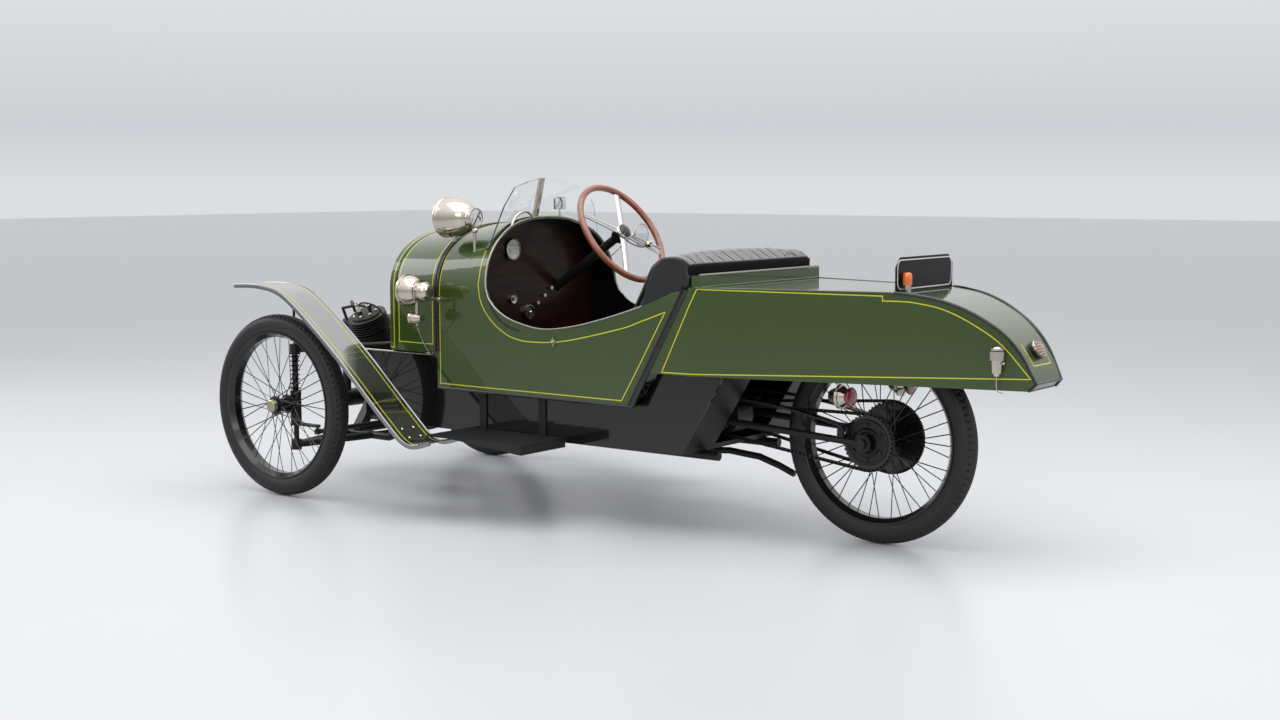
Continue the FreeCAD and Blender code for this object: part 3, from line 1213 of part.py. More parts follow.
def rear_drive():
    axle = vec(REAR_X, 0, AXLE_Z)
    box = vec(BEVEL_X, 0, BEVEL_BOX_Z)
    half = BEVEL_BOX_WIDTH / 2
    drivers = [sprocket(box, CHAIN_LEFT_Y, DRIVER_LEFT_RADIUS, DRIVER_TEETH),
               sprocket(box, -CHAIN_RIGHT_Y, DRIVER_RIGHT_RADIUS, DRIVER_TEETH)]
    leaf_low = LEAF_ROOT_Z - LEAF_THICKNESS * LEAF_COUNT - SEAT_GAP
    shaft_end = FORK_Y + FORK_EYE_HALF + LEAF_THICKNESS * 2
    shaft = drum(box, AXIS_Y, shaft_end, CROSS_SHAFT_RADIUS)
    hanger_y = shaft_end - LEAF_THICKNESS
    seat_half = LEAF_BLOCK_LENGTH / 2
    seat = union([
        block(BEVEL_X - seat_half, BEVEL_X + seat_half, FORK_Y - LEAF_WIDTH / 2, shaft_end,
              leaf_low - LEAF_THICKNESS * 2, leaf_low),
        block(BEVEL_X - FORK_EYE_RADIUS, BEVEL_X + FORK_EYE_RADIUS, hanger_y, shaft_end,
              BEVEL_BOX_Z - FORK_EYE_RADIUS, leaf_low),
    ])
    node("bevel_box", union([drum(box, AXIS_Y, half, BEVEL_BOX_RADIUS), shaft, seat,
                             mirrored(seat)] + drivers))
    node("chain_left", chain(box, axle, CHAIN_LEFT_Y, DRIVER_LEFT_RADIUS, SMALL_SPROCKET_RADIUS))
    node("chain_right", chain(box, axle, -CHAIN_RIGHT_Y, DRIVER_RIGHT_RADIUS,
                              BIG_SPROCKET_RADIUS))


def sprocket(centre, y, radius, teeth):
    points = []
    for k in range(teeth):
        step = 2 * math.pi / teeth
        for share, size in ((0.0, radius), (0.5, radius - TOOTH_HEIGHT)):
            angle = step * (k + share)
            points.append((centre.x + math.cos(angle) * size, centre.z + math.sin(angle) * size))
    half = SPROCKET_THICKNESS / 2
    return side_prism(points, y - half, y + half)


def chain_loop(front, rear, y0, y1, front_radius, rear_radius):
    """Solid belt round two circles in the XZ plane."""
    lean = math.asin((rear_radius - front_radius) / (front.x - rear.x))
    tilt = math.atan2(front.z - rear.z, front.x - rear.x)
    points = []
    for s in (1, -1):
        angle = s * (math.pi / 2 - lean) + tilt
        normal = (math.cos(angle), math.sin(angle))
        points.append([(rear.x + normal[0] * rear_radius, rear.z + normal[1] * rear_radius),
                       (front.x + normal[0] * front_radius, front.z + normal[1] * front_radius)])
    quad = [points[0][0], points[0][1], points[1][1], points[1][0]]
    half = (y1 - y0) / 2
    middle = (y0 + y1) / 2
    return union([
        side_prism(quad, y0, y1),
        drum(vec(rear.x, middle, rear.z), AXIS_Y, half, rear_radius),
        drum(vec(front.x, middle, front.z), AXIS_Y, half, front_radius),
    ])


def chain(front, rear, y, front_radius, rear_radius):
    half = SPROCKET_THICKNESS / 2 + CHAIN_PLATE_GAP
    outer = half + CHAIN_PLATE
    high = CHAIN_HEIGHT / 2
    plates = []
    for y0, y1 in ((y - outer, y - half), (y + half, y + outer)):
        loop = chain_loop(front, rear, y0, y1, front_radius + high, rear_radius + high)
        hole = chain_loop(front, rear, y0 - CHAIN_PLATE, y1 + CHAIN_PLATE,
                          front_radius - high, rear_radius - high)
        plates.append(loop.cut(hole))
    return union(plates + chain_pins(front, rear, y, front_radius, rear_radius, outer))


def chain_pins(front, rear, y, front_radius, rear_radius, outer):
    pins = []
    lean = math.asin((rear_radius - front_radius) / (front.x - rear.x))
    tilt = math.atan2(front.z - rear.z, front.x - rear.x)
    for s in (1, -1):
        angle = s * (math.pi / 2 - lean) + tilt
        for share in (0.4, 0.6):
            size = rear_radius + (front_radius - rear_radius) * share
            x = rear.x + (front.x - rear.x) * share + math.cos(angle) * size
            z = rear.z + (front.z - rear.z) * share + math.sin(angle) * size
            pins.append(drum(vec(x, y, z), AXIS_Y, outer, CHAIN_HEIGHT / 4))
    return pins


def rear_fork():
    axle = vec(REAR_X, 0, AXLE_Z)
    box = vec(BEVEL_X, 0, BEVEL_BOX_Z)
    leaf_tip_low = LEAF_TIP_Z - LEAF_THICKNESS - SEAT_GAP
    pieces = [drum(axle, AXIS_Y, REAR_AXLE_HALF, STUB_RADIUS)]
    for s in (1, -1):
        side = AXIS_Y * (s * FORK_Y)
        post_x = REAR_X + LEAF_TIP_AHEAD
        post_y = s * FORK_Y
        half = FORK_END_THICKNESS / 2
        pieces += [
            drum(axle + side, AXIS_Y, half, FORK_END_RADIUS),
            rod(axle + side, box + side, FORK_RADIUS),
            drum(box + side, AXIS_Y, FORK_EYE_HALF, FORK_EYE_RADIUS),
            block(post_x, post_x + FORK_RADIUS * 2, post_y - half, post_y + half,
                  AXLE_Z, leaf_tip_low),
            drum(axle + AXIS_Y * (s * (REAR_AXLE_HALF - AXLE_NUT_LENGTH / 2)), AXIS_Y,
                 AXLE_NUT_LENGTH / 2, AXLE_NUT_RADIUS),
        ]
    hole = drum(box, AXIS_Y, REAR_AXLE_HALF, CROSS_SHAFT_RADIUS + SEAT_GAP)
    node("rear_fork", union(pieces).cut(hole))


def leaf_springs():
    leaves = []
    y0 = FORK_Y - LEAF_WIDTH / 2
    for k in range(LEAF_COUNT):
        tip_x = REAR_X + LEAF_TIP_AHEAD + LEAF_STEP * k
        root_x = REAR_X + LEAF_ROOT_AHEAD
        drop = LEAF_THICKNESS * k
        top = [leaf_point(root_x + (tip_x - root_x) * t / 4, drop) for t in range(5)]
        low = [vec(p.x, 0, p.z - LEAF_THICKNESS) for p in top]
        edges = [curve(top), Part.makeLine(top[-1], low[-1]), curve(low[::-1]),
                 Part.makeLine(low[0], top[0])]
        face = Part.Face(Part.Wire(edges))
        face.translate(vec(0, y0, 0))
        leaves.append(face.extrude(vec(0, LEAF_WIDTH, 0)))
    stack = union(leaves)
    node("leaf_springs", Part.makeCompound([stack, mirrored(stack)]))


def leaf_point(x, drop):
    share = (x - REAR_X - LEAF_TIP_AHEAD) / (LEAF_ROOT_AHEAD - LEAF_TIP_AHEAD)
    bow = LEAF_CAMBER * 4 * share * (1 - share)
    return vec(x, 0, LEAF_TIP_Z + (LEAF_ROOT_Z - LEAF_TIP_Z) * share + bow - drop)


# Wings and steps


def wing():
    x0 = FRONT_X + WING_REACH - WING_LENGTH
    points = [(x0 + sx * WING_LENGTH, WING_FOOT_Z + sz * WING_HEIGHT) for sx, sz in WING_shares]
    points.append((x0, STEP_TOP - STEP_SHEET - SEAT_GAP))
    inner = WING_OUTER - WING_WIDTH
    sheet = wing_band(points, WING_SHEET, inner, WING_OUTER)
    lips = [wing_band(points, WING_LIP, inner, inner + WING_SHEET),
            wing_band(points, WING_LIP, WING_OUTER - WING_SHEET, WING_OUTER)]
    return union([sheet] + lips)


def wing_band(points, thickness, y0, y1):
    top = [vec(x, y0, z) for x, z in points]
    low = []
    for k, p in enumerate(top):
        before = top[max(k - 1, 0)]
        after = top[min(k + 1, len(top) - 1)]
        along = after - before
        along.normalize()
        low.append(p + vec(along.z, 0, -along.x) * -thickness)
    edges = [curve(top), Part.makeLine(top[-1], low[-1]), curve(low[::-1]),
             Part.makeLine(low[0], top[0])]
    return Part.Face(Part.Wire(edges)).extrude(vec(0, y1 - y0, 0))


def step():
    front = FRONT_X - STEP_FRONT_BEHIND_AXLE
    back = front - STEP_LENGTH
    low = STEP_TOP - STEP_SHEET
    plate = block(back, front, STEP_INNER, STEP_OUTER, low, STEP_TOP)
    edge = STEP_TOP - STEP_EDGE
    wing_end = FRONT_X + WING_REACH - WING_LENGTH - WING_SHEET * 2
    skirt = [
        side_prism([(back, edge), (wing_end, low), (wing_end, STEP_TOP), (back, STEP_TOP)],
                   STEP_OUTER - STEP_SHEET, STEP_OUTER),
        block(back, back + STEP_SHEET, STEP_INNER, STEP_OUTER, edge, STEP_TOP),
    ]
    brackets = []
    for share in STEP_BRACKET_shares:
        x = front - STEP_LENGTH * share
        brackets.append(block(x - STEP_BRACKET_WIDTH, x, SIDE_PANEL_Y,
                              SIDE_PANEL_Y + STEP_BRACKET_THICKNESS, low, BODY_BOTTOM))
    return union([plate] + skirt + brackets)


# Screen, lamps and fittings


def screen_x(y, z):
    foot = STRAP_X - SCREEN_FOOT_BEHIND_STRAP
    return foot - SCREEN_RAKE_share * (z - SCREEN_FOOT_Z) - SCREEN_SWEEP_share * abs(y)


def screen():
    low = SCREEN_FOOT_Z - SCREEN_POST_SINK
    foot = vec(screen_x(0, low), 0, low)
    top = vec(screen_x(0, SCREEN_TOP_Z), 0, SCREEN_TOP_Z)
    half = POST_WIDTH / 2
    post = side_prism([(foot.x - POST_DEPTH / 2, low), (foot.x + POST_DEPTH / 2, low),
                       (top.x + POST_DEPTH / 2, SCREEN_TOP_Z),
                       (top.x - POST_DEPTH / 2, SCREEN_TOP_Z)], -half, half)
    crest = body_crest()
    post = post.cut(crest)
    node("screen_post", post)
    base = SCREEN_TOP_Z - SCREEN_HEIGHT
    corners = [(sy * SCREEN_HALF, base + sz * SCREEN_HEIGHT) for sy, sz in SCREEN_shares]
    points = [vec(screen_x(y, z), y, z) for y, z in corners]
    normal = (points[1] - points[0]).cross(points[3] - points[0])
    normal.normalize()
    pane = Part.Face(Part.makePolygon(points + points[:1])).extrude(normal * GLASS)
    pane = pane.cut(crest).cut(post)
    pair("windscreen", sorted(pane.Solids, key=lambda s: s.Volume)[-1])


def body_crest():
    """The outside of the body and bonnet, a seat gap larger."""
    return arch_solid([(x, half_width + SEAT_GAP, crown + SEAT_GAP)
                       for x, half_width, crown in body_stations(0)], BODY_BOTTOM)


def lamp_body(centre, radius, length, back_share):
    """Lamp with a rolled front ring and a deep bowl. It faces forward."""
    rim = [(0, 0), (0, radius - LAMP_RING), (LAMP_RING / 2, radius - LAMP_RING / 2),
           (0, radius), (-LAMP_RING * 2, radius), (-LAMP_RING * 2, radius - LAMP_RING)]
    shell = [(-length * sx, radius * sr) for sx, sr in LAMP_BOWL_shares]
    shell.append((-length, radius * back_share))
    return turned_bowl(rim, shell, centre, AXIS_X, AXIS_Z)


def spot_lamp():
    """Lamp on a swivel post at its back, with a round mirror behind it."""
    front = STRAP_X - SPOT_FRONT_BEHIND_STRAP
    spot = vec(front, SPOT_LAMP_Y, SPOT_LAMP_Z)
    back = spot - AXIS_X * SPOT_LAMP_LENGTH
    body = lamp_body(spot, SPOT_LAMP_RADIUS, SPOT_LAMP_LENGTH, SPOT_BACK_share)
    neck = SPOT_LAMP_RADIUS * SPOT_BACK_share - MIRROR_RING / 2
    glass = back - AXIS_X * (SPOT_MIRROR_DEPTH - MIRROR_RING * 2)
    post_x = back.x - SPOT_MIRROR_DEPTH / 2
    mirror_low = SPOT_LAMP_Z - SPOT_MIRROR_RADIUS + MIRROR_RING * 2
    pieces = [
        body, drum(back, AXIS_X, SPOT_MIRROR_DEPTH / 2, neck),
        rod(back, glass, SPOT_MIRROR_RADIUS - MIRROR_RING),
        drum(glass, AXIS_X, MIRROR_RING, SPOT_MIRROR_RADIUS),
        rod(vec(post_x, SPOT_LAMP_Y, mirror_low), vec(post_x, SPOT_LAMP_Y, SPRING_LINE),
            LAMP_POST_RADIUS),
        Part.makeSphere(LAMP_POST_RADIUS * 2, vec(post_x, SPOT_LAMP_Y, mirror_low - LAMP_POST_RADIUS * 3)),
    ]
    whole = union(pieces).cut(drum(glass - AXIS_X * MIRROR_RING, AXIS_X, MIRROR_RING / 2,
                                   SPOT_MIRROR_RADIUS - MIRROR_RING))
    whole = whole.cut(body_crest())
    node("spot_lamp", sorted(whole.Solids, key=lambda s: s.Volume)[-1])


def side_lamp():
    """Lamp with a vented collar, a small lamp hung below it and a hooked black arm."""
    centre = vec(STRAP_X + SIDE_LAMP_LENGTH / 2, SIDE_LAMP_Y, SIDE_LAMP_Z)
    back = centre - AXIS_X * (SIDE_LAMP_LENGTH - COLLAR_LENGTH)
    body = lamp_body(centre, SIDE_LAMP_RADIUS, SIDE_LAMP_LENGTH - COLLAR_LENGTH, SIDE_BACK_share)
    collar = SIDE_LAMP_RADIUS * SIDE_BACK_share
    cap = [(0, 0), (0, collar)]
    dome = [(-COLLAR_LENGTH * sx, collar * sr) for sx, sr in COLLAR_DOME_shares]
    small = vec(centre.x - SMALL_LAMP_LENGTH / 2, SIDE_LAMP_Y, SIDE_LAMP_Z - SMALL_LAMP_DROP)
    stem_x = small.x - SMALL_LAMP_LENGTH / 2
    pieces = [
        body, turned_bowl(cap, dome, back, AXIS_X, AXIS_Z),
        lamp_body(small, SMALL_LAMP_RADIUS, SMALL_LAMP_LENGTH, SIDE_BACK_share),
        rod(vec(stem_x, SIDE_LAMP_Y, small.z), vec(stem_x, SIDE_LAMP_Y, SIDE_LAMP_Z),
            LAMP_POST_RADIUS),
    ]
    for k in range(VENT_COUNT):
        x = back.x + VENT_PITCH * (k + 1)
        pieces.append(drum(vec(x, SIDE_LAMP_Y, SIDE_LAMP_Z), AXIS_X, VENT_PITCH / 4,
                           collar + VENT_HEIGHT))
    body_side = STRAP_HALF_WIDTH + SEAT_GAP * 2
    arm_x = STRAP_X - LAMP_POST_RADIUS * 2
    arm_z = SIDE_LAMP_Z - SIDE_LAMP_RADIUS * ARM_DROP_share
    hook = [vec(back.x - COLLAR_LENGTH / 2, SIDE_LAMP_Y, SIDE_LAMP_Z),
            vec(arm_x, SIDE_LAMP_Y - LAMP_POST_RADIUS, SIDE_LAMP_Z - LAMP_POST_RADIUS),
            vec(arm_x, SIDE_LAMP_Y - SIDE_LAMP_RADIUS / 2, arm_z), vec(arm_x, body_side, arm_z)]
    cable_x = small.x - SMALL_LAMP_LENGTH / 2
    enter_x = cable_x + SMALL_LAMP_RADIUS
    low = small.z - SMALL_LAMP_RADIUS
    cable = [vec(cable_x, SIDE_LAMP_Y, small.z), vec(cable_x, SIDE_LAMP_Y, low),
             vec(enter_x, (SIDE_LAMP_Y + body_side) / 2, (low + BONNET_BOTTOM) / 2),
             vec(enter_x, body_side + LEAD_RADIUS * 2, BONNET_BOTTOM),
             vec(enter_x, SIDE_PANEL_Y + LEAD_RADIUS, SIDE_PANEL_TOP - LIP_LENGTH)]
    pieces += [tube_run(hook, LAMP_POST_RADIUS), bent_tube(cable, LEAD_RADIUS),
               rod(hook[-1], hook[-1] + AXIS_Y * LAMP_POST_RADIUS, LAMP_POST_RADIUS * 2)]
    pair("side_lamp", union(pieces))


def scuttle_fittings():
    """Driving mirror, grab handle and the round mirror on the right side."""
    crest = body_crest()
    x = STRAP_X - SCREEN_FOOT_BEHIND_STRAP - MIRROR_BEHIND_POST
    glass_z = BODY_CROWN + MIRROR_STALK + MIRROR_HEIGHT / 2
    half = MIRROR_THICKNESS / 2
    y = -MIRROR_OFFSET
    glass = block(x - half, x + half, y - MIRROR_WIDTH / 2, y + MIRROR_WIDTH / 2,
                  glass_z - MIRROR_HEIGHT / 2, glass_z + MIRROR_HEIGHT / 2)
    edges = [e for e in glass.Edges if abs(e.Curve.Direction.x) > 0.9]
    glass = glass.makeFillet(MIRROR_THICKNESS, edges)
    stalk = rod(vec(x, y, SPRING_LINE), vec(x, y, glass_z), MIRROR_STALK_RADIUS)
    base = rod(vec(x, y, SPRING_LINE), vec(x, y, BODY_CROWN + MIRROR_STALK_RADIUS),
               MIRROR_STALK_RADIUS * 2)
    solids = [outermost(union([glass, stalk, base]).cut(crest))]
    near = HANDLE_OFFSET
    far = HANDLE_OFFSET + HANDLE_LENGTH
    grip_x = RIM_X + HANDLE_AHEAD_RIM
    near_z = crown_at(grip_x, near) + HANDLE_HEIGHT
    far_z = crown_at(grip_x, far) + HANDLE_HEIGHT
    grip = bent_tube([vec(grip_x, near, SPRING_LINE), vec(grip_x, near, near_z),
                      vec(grip_x, far, far_z), vec(grip_x, far, SPRING_LINE)], HANDLE_RADIUS)
    solids.append(outermost(grip.cut(crest)))
    disc = vec(STRAP_X - FAR_MIRROR_BEHIND_STRAP, -BODY_HALF_WIDTH - FAR_MIRROR_OUTSET,
               FAR_MIRROR_Z)
    elbow = disc + AXIS_X * FAR_MIRROR_RADIUS
    foot = vec(elbow.x + FAR_ARM_REACH, -BODY_HALF_WIDTH + BODY_WALL, FAR_ARM_Z)
    bowl = [(FAR_MIRROR_DEPTH * sx, FAR_MIRROR_RADIUS * sr) for sx, sr in FAR_MIRROR_shares]
    case = turned_bowl([(0, 0), (0, FAR_MIRROR_RADIUS)], bowl, disc, AXIS_X, AXIS_Z)
    arm = union([rod(disc + AXIS_X * (FAR_MIRROR_DEPTH / 2), elbow, MIRROR_STALK_RADIUS),
                 Part.makeSphere(MIRROR_STALK_RADIUS * 2, elbow),
                 rod(elbow, foot, MIRROR_STALK_RADIUS)])
    solids.append(outermost(union([case, arm]).cut(crest)))
    node("scuttle_fittings", Part.makeCompound(solids))


def crown_at(x, y):
    """Height of the scuttle over a point."""
    share = (x - RIM_X) / (STRAP_X - RIM_X)
    half = BODY_HALF_WIDTH + (STRAP_HALF_WIDTH - BODY_HALF_WIDTH) * share
    rise = BODY_CROWN + (STRAP_CROWN - BODY_CROWN) * share - SPRING_LINE
    return SPRING_LINE + rise * (1 - (y / half) ** ARCH_POWER_share) ** (1 / ARCH_POWER_share)


def outermost(shape):
    return sorted(shape.Solids, key=lambda s: s.Volume)[-1]


def instruments():
    """Clock, gauge, switch and knobs on the face of the dashboard."""
    x = RIM_X + DASH_AHEAD_RIM - SEAT_GAP
    solids = []
    for y, z, radius in ((DIAL_Y, DIAL_Z, DIAL_RADIUS), (DIAL_Y, GAUGE_Z, GAUGE_RADIUS),
                         (SWITCH_Y, SWITCH_Z, SWITCH_RADIUS)):
        ring = radius * DIAL_RING_share
        profile = [(0, 0), (0, radius), (-DIAL_DEPTH / 2, radius), (-DIAL_DEPTH, radius - ring / 2),
                   (-DIAL_DEPTH, radius - ring), (-DIAL_DEPTH / 2, radius - ring),
                   (-DIAL_DEPTH / 2, 0)]
        solids.append(turned(profile, vec(x, y, z), AXIS_X, AXIS_Z))
    for share in KNOB_shares:
        knob = vec(x, SWITCH_Y - KNOB_SPREAD * share, SWITCH_Z + KNOB_RISE * share)
        profile = [(0, 0), (0, KNOB_RADIUS / 2), (-DIAL_DEPTH / 2, KNOB_RADIUS / 2),
                   (-DIAL_DEPTH / 2, KNOB_RADIUS), (-DIAL_DEPTH, KNOB_RADIUS), (-DIAL_DEPTH, 0)]
        solids.append(turned(profile, knob, AXIS_X, AXIS_Z))
    node("instruments", Part.makeCompound(solids))


def pedals():
    """Three pedals on the floor under the steering column."""
    floor = SIDE_PANEL_BOTTOM + TRAY_THICKNESS + SEAT_GAP
    foot_x = STRAP_X - PEDAL_BEHIND_STRAP
    pads = []
    for side in (-1, 0, 1):
        y = STEERING_WHEEL_Y + PEDAL_SPACING * side
        top = vec(foot_x - PEDAL_LEAN, y, floor + PEDAL_HEIGHT)
        pad = block(top.x, top.x + PEDAL_THICKNESS, y - PEDAL_WIDTH / 2, y + PEDAL_WIDTH / 2,
                    top.z - PEDAL_PAD_HEIGHT / 2, top.z + PEDAL_PAD_HEIGHT / 2)
        stem = rod(vec(foot_x, y, floor + PEDAL_STEM_RADIUS),
                   top + AXIS_X * (PEDAL_THICKNESS / 2), PEDAL_STEM_RADIUS)
        heel = block(foot_x - PEDAL_WIDTH / 2, foot_x + PEDAL_WIDTH / 2, y - PEDAL_STEM_RADIUS * 2,
                     y + PEDAL_STEM_RADIUS * 2, floor, floor + PEDAL_STEM_RADIUS * 2)
        pads.append(union([pad, stem, heel]))
    node("pedals", Part.makeCompound(pads))


def tail_wall_y(x):
    """Outside of the tapering tail at a place along it."""
    start = REAR_X + TAIL_TAPER_START
    tip = REAR_X - TAIL_OVERHANG
    return TAIL_TIP_HALF + (BODY_HALF_WIDTH - TAIL_TIP_HALF) * (x - tip) / (start - tip)


def tail_lamps():
    """Two coned lamps hung inside the tail's lower edge."""
    centre = vec(REAR_X + TAIL_LAMP_AHEAD, TAIL_LAMP_Y, TAIL_BOTTOM - TAIL_LAMP_DROP)
    radius = TAIL_LAMP_RADIUS
    half = TAIL_LAMP_LENGTH / 2
    profile = [(-half, 0)] + [(half * sx, radius * sr) for sx, sr in TAIL_LAMP_shares]
    profile.append((half, 0))
    body = turned(profile, centre, AXIS_X, AXIS_Z)
    hanger_x = centre.x + LAMP_RING * 2
    wall = tail_wall_y(hanger_x) - TAIL_WALL - SEAT_GAP
    level = TAIL_BOTTOM + TAIL_WALL
    pieces = [body, rod(vec(hanger_x, TAIL_LAMP_Y, centre.z), vec(hanger_x, TAIL_LAMP_Y, level),
                        LAMP_POST_RADIUS),
              block(hanger_x, hanger_x + LAMP_POST_RADIUS * 2, TAIL_LAMP_Y, wall,
                    TAIL_BOTTOM, level)]
    lamp = union(pieces)
    node("tail_lamps", Part.makeCompound([lamp, mirrored(lamp)]))


def tail_fittings():
    """Reflector on the tail's end, indicator before the plate and a lamp on each side."""
    sx, sz = TAIL_END_shares[REFLECTOR_PLACE]
    before = TAIL_END_shares[REFLECTOR_PLACE - 1]
    after = TAIL_END_shares[REFLECTOR_PLACE + 1]
    height = DECK_Z - TAIL_TIP_Z
    tip = REAR_X - TAIL_OVERHANG
    along = vec((before[0] - after[0]) * TAIL_CURVE_START, 0, (before[1] - after[1]) * height)
    outward = vec(-along.z, 0, along.x)
    outward.normalize()
    seat = vec(tip + sx * TAIL_CURVE_START, 0, TAIL_TIP_Z + sz * height)
    ring = REFLECTOR_RADIUS - LAMP_RING
    depth = REFLECTOR_DEPTH
    profile = [(SEAT_GAP, 0), (SEAT_GAP, REFLECTOR_RADIUS), (depth, REFLECTOR_RADIUS), (depth, ring),
               (depth - LAMP_RING / 2, ring), (depth, 0)]
    solids = [turned(profile, seat, outward, AXIS_Y)]
    shell = tail_solid(-SEAT_GAP)
    foot = vec(REAR_X - PLATE_BEHIND - INDICATOR_BEHIND_PLATE, INDICATOR_Y, DECK_Z - LAMP_RING)
    tall = INDICATOR_HEIGHT
    base = [(0, 0)] + [(tall * sz, INDICATOR_RADIUS * sr) for sz, sr in INDICATOR_BASE_shares]
    dome = [(tall * sz, INDICATOR_RADIUS * sr) for sz, sr in INDICATOR_DOME_shares]
    solids.append(outermost(turned_bowl(base, dome, foot, AXIS_Z, AXIS_X).cut(shell)))
    lamp_x = REAR_X - TAIL_SIDE_LAMP_BEHIND
    radius = TAIL_SIDE_LAMP_RADIUS
    wall = tail_wall_y(lamp_x + radius) + SEAT_GAP
    centre = vec(lamp_x, wall + radius + LAMP_RING, TAIL_BOTTOM + TAIL_SIDE_LAMP_RISE)
    length = TAIL_SIDE_LAMP_HEIGHT
    base = [(0, 0)] + [(length * sz, radius * sr) for sz, sr in TAIL_SIDE_LAMP_shares]
    dome = [(length * sz, radius * sr) for sz, sr in TAIL_SIDE_DOME_shares]
    body = turned_bowl(base, dome, centre, AXIS_Z, AXIS_X)
    boss_z = centre.z + length / 2
    boss = rod(vec(lamp_x, wall - LAMP_RING, boss_z), vec(lamp_x, centre.y, boss_z), radius / 2)
    wire = bent_tube([centre + AXIS_Z * LAMP_RING, centre - AXIS_Z * TAIL_SIDE_LAMP_RISE,
                      vec(lamp_x, tail_wall_y(lamp_x) - TAIL_WALL * 2, TAIL_BOTTOM - LEAD_RADIUS * 3)],
                     LEAD_RADIUS / 2)
    lamp = union([body, boss.cut(shell), wire])
    solids += [lamp, mirrored(lamp)]
    node("tail_fittings", Part.makeCompound(solids))


def plate():
    x = REAR_X - PLATE_BEHIND
    low = DECK_Z
    round_off = PLATE_CORNER
    points = [(-PLATE_HALF, low), (PLATE_HALF, low), (PLATE_HALF, low + PLATE_HEIGHT - round_off),
              (PLATE_HALF - round_off, low + PLATE_HEIGHT),
              (-PLATE_HALF + round_off, low + PLATE_HEIGHT),
              (-PLATE_HALF, low + PLATE_HEIGHT - round_off)]
    wire = Part.makePolygon([vec(x, y, z) for y, z in points + points[:1]])
    node("number_plate", Part.Face(wire).extrude(vec(PLATE_THICKNESS, 0, 0)))


def build():
    front_wheels()
    rear_wheel()
    front_frame()
    steering_gear()
    engine()
    engine_gear()
    exhaust()
    body_tub()
    bonnet()
    chassis_sides()
    frame_tubes()
    dashboard()
    seat_board()
    seats()
    tail()
    rear_drive()
    rear_fork()
    leaf_springs()
    pair("front_wing", wing())
    pair("running_step", step())
    screen()
    spot_lamp()
    side_lamp()
    scuttle_fittings()
    instruments()
    pedals()
    tail_lamps()
    tail_fittings()
    plate()


build()
os.makedirs("parts", exist_ok=True)
for name, shape in NODES.items():
    shape.exportStep("parts/" + name + ".step")
    print(name, len(shape.Solids), shape.isValid(), round(shape.Volume))
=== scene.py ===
import bpy
import bmesh
import math
from mathutils import Matrix, Vector
from mathutils.bvhtree import BVHTree


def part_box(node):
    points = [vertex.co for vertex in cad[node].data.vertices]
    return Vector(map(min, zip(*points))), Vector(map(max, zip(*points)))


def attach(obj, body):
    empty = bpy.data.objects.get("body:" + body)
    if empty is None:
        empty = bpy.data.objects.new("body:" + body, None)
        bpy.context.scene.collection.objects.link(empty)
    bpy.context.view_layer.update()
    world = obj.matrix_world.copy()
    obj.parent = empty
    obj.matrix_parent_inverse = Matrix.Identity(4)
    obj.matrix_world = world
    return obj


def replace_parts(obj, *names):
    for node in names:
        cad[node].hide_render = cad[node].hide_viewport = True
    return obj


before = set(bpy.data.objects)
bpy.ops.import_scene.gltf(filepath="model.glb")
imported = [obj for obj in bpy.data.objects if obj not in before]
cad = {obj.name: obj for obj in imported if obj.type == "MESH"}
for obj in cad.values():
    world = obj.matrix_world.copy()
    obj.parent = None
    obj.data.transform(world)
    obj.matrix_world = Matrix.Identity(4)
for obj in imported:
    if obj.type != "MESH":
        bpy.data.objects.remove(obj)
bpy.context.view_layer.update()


# The studio: a pale floor with a faint sheen under soft overhead boxes, and a
# plain pale surround that metal and glass mirror as the eye sees it.

def tree_of(owner):
    owner.use_nodes = True
    owner.node_tree.nodes.clear()
    return owner.node_tree.nodes, owner.node_tree.links


def add_node(nodes, kind, numbered=(), **values):
    """A shader node with its settings, given by name or by an input's number."""
    item = nodes.new("ShaderNode" + kind)
    for key, value in values.items():
        if hasattr(item, key):
            setattr(item, key, value)
        else:
            item.inputs[key.replace("_", " ")].default_value = value
    for number, value in numbered:
        item.inputs[number].default_value = value
    return item


def wire(links, *runs):
    """Links, each from an output of one node to an input of the next."""
    for source, given, target, taken in runs:
        links.new(source.outputs[given], target.inputs[taken])


def shades(nodes, *stops):
    """A colour ramp: its first stop, its last one, and any between them."""
    item = add_node(nodes, "ValToRGB")
    elements = item.color_ramp.elements
    for k, (place, colour) in enumerate(stops):
        stop = elements[k] if k < 2 else elements.new(place)
        stop.position = place
        stop.color = (*colour, 1)
    return item


world = bpy.data.worlds.new("studio_surround")
bpy.context.scene.world = world
nodes, links = tree_of(world)
out = add_node(nodes, "OutputWorld")
rays = add_node(nodes, "LightPath")
seen = add_node(nodes, "Background")
given = add_node(nodes, "Background", Color=(0.93, 0.96, 1.0, 1), Strength=0.55)
either = add_node(nodes, "Math", operation="MAXIMUM")
any_ray = add_node(nodes, "Math", operation="MAXIMUM")
mix = add_node(nodes, "MixShader")
way = add_node(nodes, "TexCoord")
split = add_node(nodes, "SeparateXYZ")
ramp = shades(nodes, (0.0, (0.74, 0.745, 0.76)), (0.62, (0.86, 0.86, 0.87)),
    (0.497, (0.72, 0.73, 0.75)), (0.515, (0.6, 0.63, 0.66)), (0.545, (0.7, 0.725, 0.745)))
lift = add_node(nodes, "MapRange", From_Min=-1.0, From_Max=1.0)
wire(links, (way, "Generated", split, 0), (split, "Z", lift, "Value"),
    (lift, "Result", ramp, "Fac"))
overhead = add_node(nodes, "MapRange", From_Min=0.2, From_Max=0.72, To_Min=1.0, To_Max=1.8)
